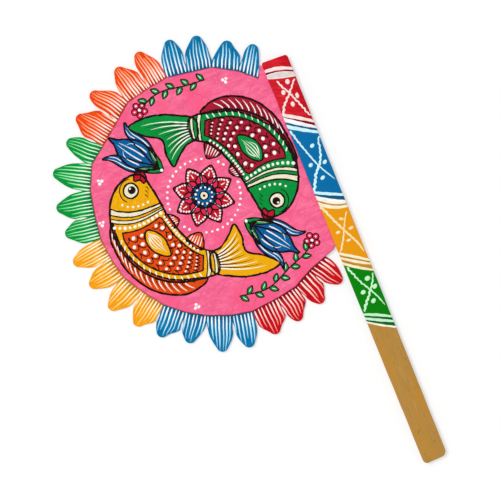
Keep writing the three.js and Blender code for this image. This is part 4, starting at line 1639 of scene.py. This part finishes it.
def skin_mesh(picture):
    """The coat of paint: a flat net laid on the plait's relief, with a rounded edge and a flat underside."""
    outline = skin_outline()
    lines = [np.arange(low, high, SKIN_STEP) for low, high in zip(outline.min(axis=0), outline.max(axis=0))]
    grid = np.stack(np.meshgrid(*lines), axis=-1).reshape(-1, 2)
    beside = HANDLE_SIDE + INTO_SPLIT - grid[:, 0]
    below = (corner_point() - grid).sum(axis=1) / math.sqrt(2)
    room = np.minimum(np.minimum(beside, below), inward(grid))
    grid = grid[room > SKIN_EDGE + SKIN_STEP / 2]
    flat = np.vstack([drawn_in(outline, SKIN_EDGE), grid])
    size, top = len(outline), len(flat)
    around = [(k, (k + 1) % size) for k in range(size)]
    corners, _, faces, *_ = delaunay_2d_cdt([Vector(point) for point in flat], around, [], 1, 1e-6)
    assert len(corners) == top
    rings = [on_skin(flat)]
    for inset, height in SKIN_RINGS:
        ring = drawn_in(outline, inset)
        rings.append(lifted(ring, blade_z(ring[:, 0], height)))
    starts = (0, top, top + size, top + 2 * size)
    for upper, lower in zip(starts, starts[1:]):
        faces.extend((upper + k, lower + k, lower + after, upper + after) for k, after in around)
    faces.append(range(starts[-1], starts[-1] + size))
    points = np.vstack(rings)
    build = Build()
    build.add(points, faces)
    mesh = build.mesh()
    fields = {"inward": inward(points[:, :2])}
    for layer in LAYERS:
        fields[f"area_{layer}"] = area_depth(picture, layer, points[:, :2])
        fields[f"area_{layer}"][top:] = FAR
    for name, values in fields.items():
        attribute = mesh.attributes.new(name, "FLOAT", "POINT")
        attribute.data.foreach_set("value", values.astype(np.float32))
    return mesh


def plait_crease(shade, position):
    """1 along the edges of the splints that lie on top and 0 elsewhere, laid out as the relief is."""
    x, y, _ = shade.parts(position)
    cells, rests = [], []
    for axis in (ALONG_WEFT, ALONG_WARP):
        at = shade.math("MULTIPLY_ADD", x, axis[0] / (PITCH * MM), -(MIDDLE_CROSSING @ axis) / PITCH)
        at = shade.math("MULTIPLY_ADD", y, axis[1] / (PITCH * MM), at)
        cells.append(shade.math("ROUND", at))
        rests.append(shade.math("SUBTRACT", at, cells[-1]))
    weft = shade.math("FLOORED_MODULO", shade.math("ADD", *cells), 2.0)
    return shade.between(shade.math("ABSOLUTE", shade.blend(weft, *rests)), 0.43, 0.495)


def skin_material():
    """Pink ground in broad strokes, with painted shade along the plait's creases and a darker edge that is
    partly paint and partly painted shade, and over it each painted area in brushed paint.
    """
    shade = Shade("painted_face", 0.58)
    position = shade.position()
    broad = shade.noise(position, PINK_BROAD, 3.0)
    spots = shade.noise(position, PINK_SPOTS, 3.0, 0.6)
    fine = shade.noise(position, PINK_FINE, 3.0)
    slow = shade.noise(position, PINK_SLOW, 3.0, 0.6)
    pink = shade.mix(shade.between(broad, 0.35, 0.7), PINK_TONES[0], PINK_TONES[1])
    pink = shade.mix(shade.between(spots, 0.5, 0.72, 0.6), pink, PINK_TONES[2])
    pink = shade.mix(shade.between(slow, 0.46, 0.62, 0.75), pink, PINK_TONES[3])
    pink = shade.mix(shade.between(fine, 0.55, 0.8), pink, shaded(PINK, 0.88))
    # Painted shade: darker pink along the edges of the splints on top, where the plait's creases lie, in
    # patches
    crease = shade.math("MULTIPLY", plait_crease(shade, position), shade.between(broad, 0.42, 0.6, 0.36))
    pink = shade.mix(crease, pink, DARK_PINK_LINE_AND_SHADE)
    # Darker pink within about a millimetre of the mat's edge and down its side: partly a darker line of
    # paint, partly painted shade
    depth = shade.math("MULTIPLY_ADD", fine, 0.6, shade.attribute("inward")["Fac"])
    colour = shade.mix(shade.between(depth, 1.1, 0.5, 0.8), pink, DARK_PINK_LINE_AND_SHADE)
    for layer, paint in LAYERS.items():
        brushed = shade.mix(shade.between(fine, 0.35, 0.7), shaded(paint, 0.86), shaded(paint, 1.04))
        brushed = shade.mix(shade.between(broad, 0.4, 0.75), brushed, shaded(paint, 0.93))
        share = shade.between(shade.attribute(f"area_{layer}")["Fac"], 0.12, -0.12)
        colour = shade.mix(share, colour, brushed)
    return shade.finish(colour, fine, 0.035)


picture = draw_picture()
ink = paint_material("ink_black", INK, 0.45, dark=0.7)
white_paint = paint_material("paint_white", WHITE)
add_piece("painted_face", skin_mesh(picture), [skin_material()], "mat_pink", 50)
add_piece("picture_ink", picture.ink.mesh(), [ink], "mat_pink", 60)
add_piece("picture_white", picture.white.mesh(), [white_paint], "mat_pink", 60)
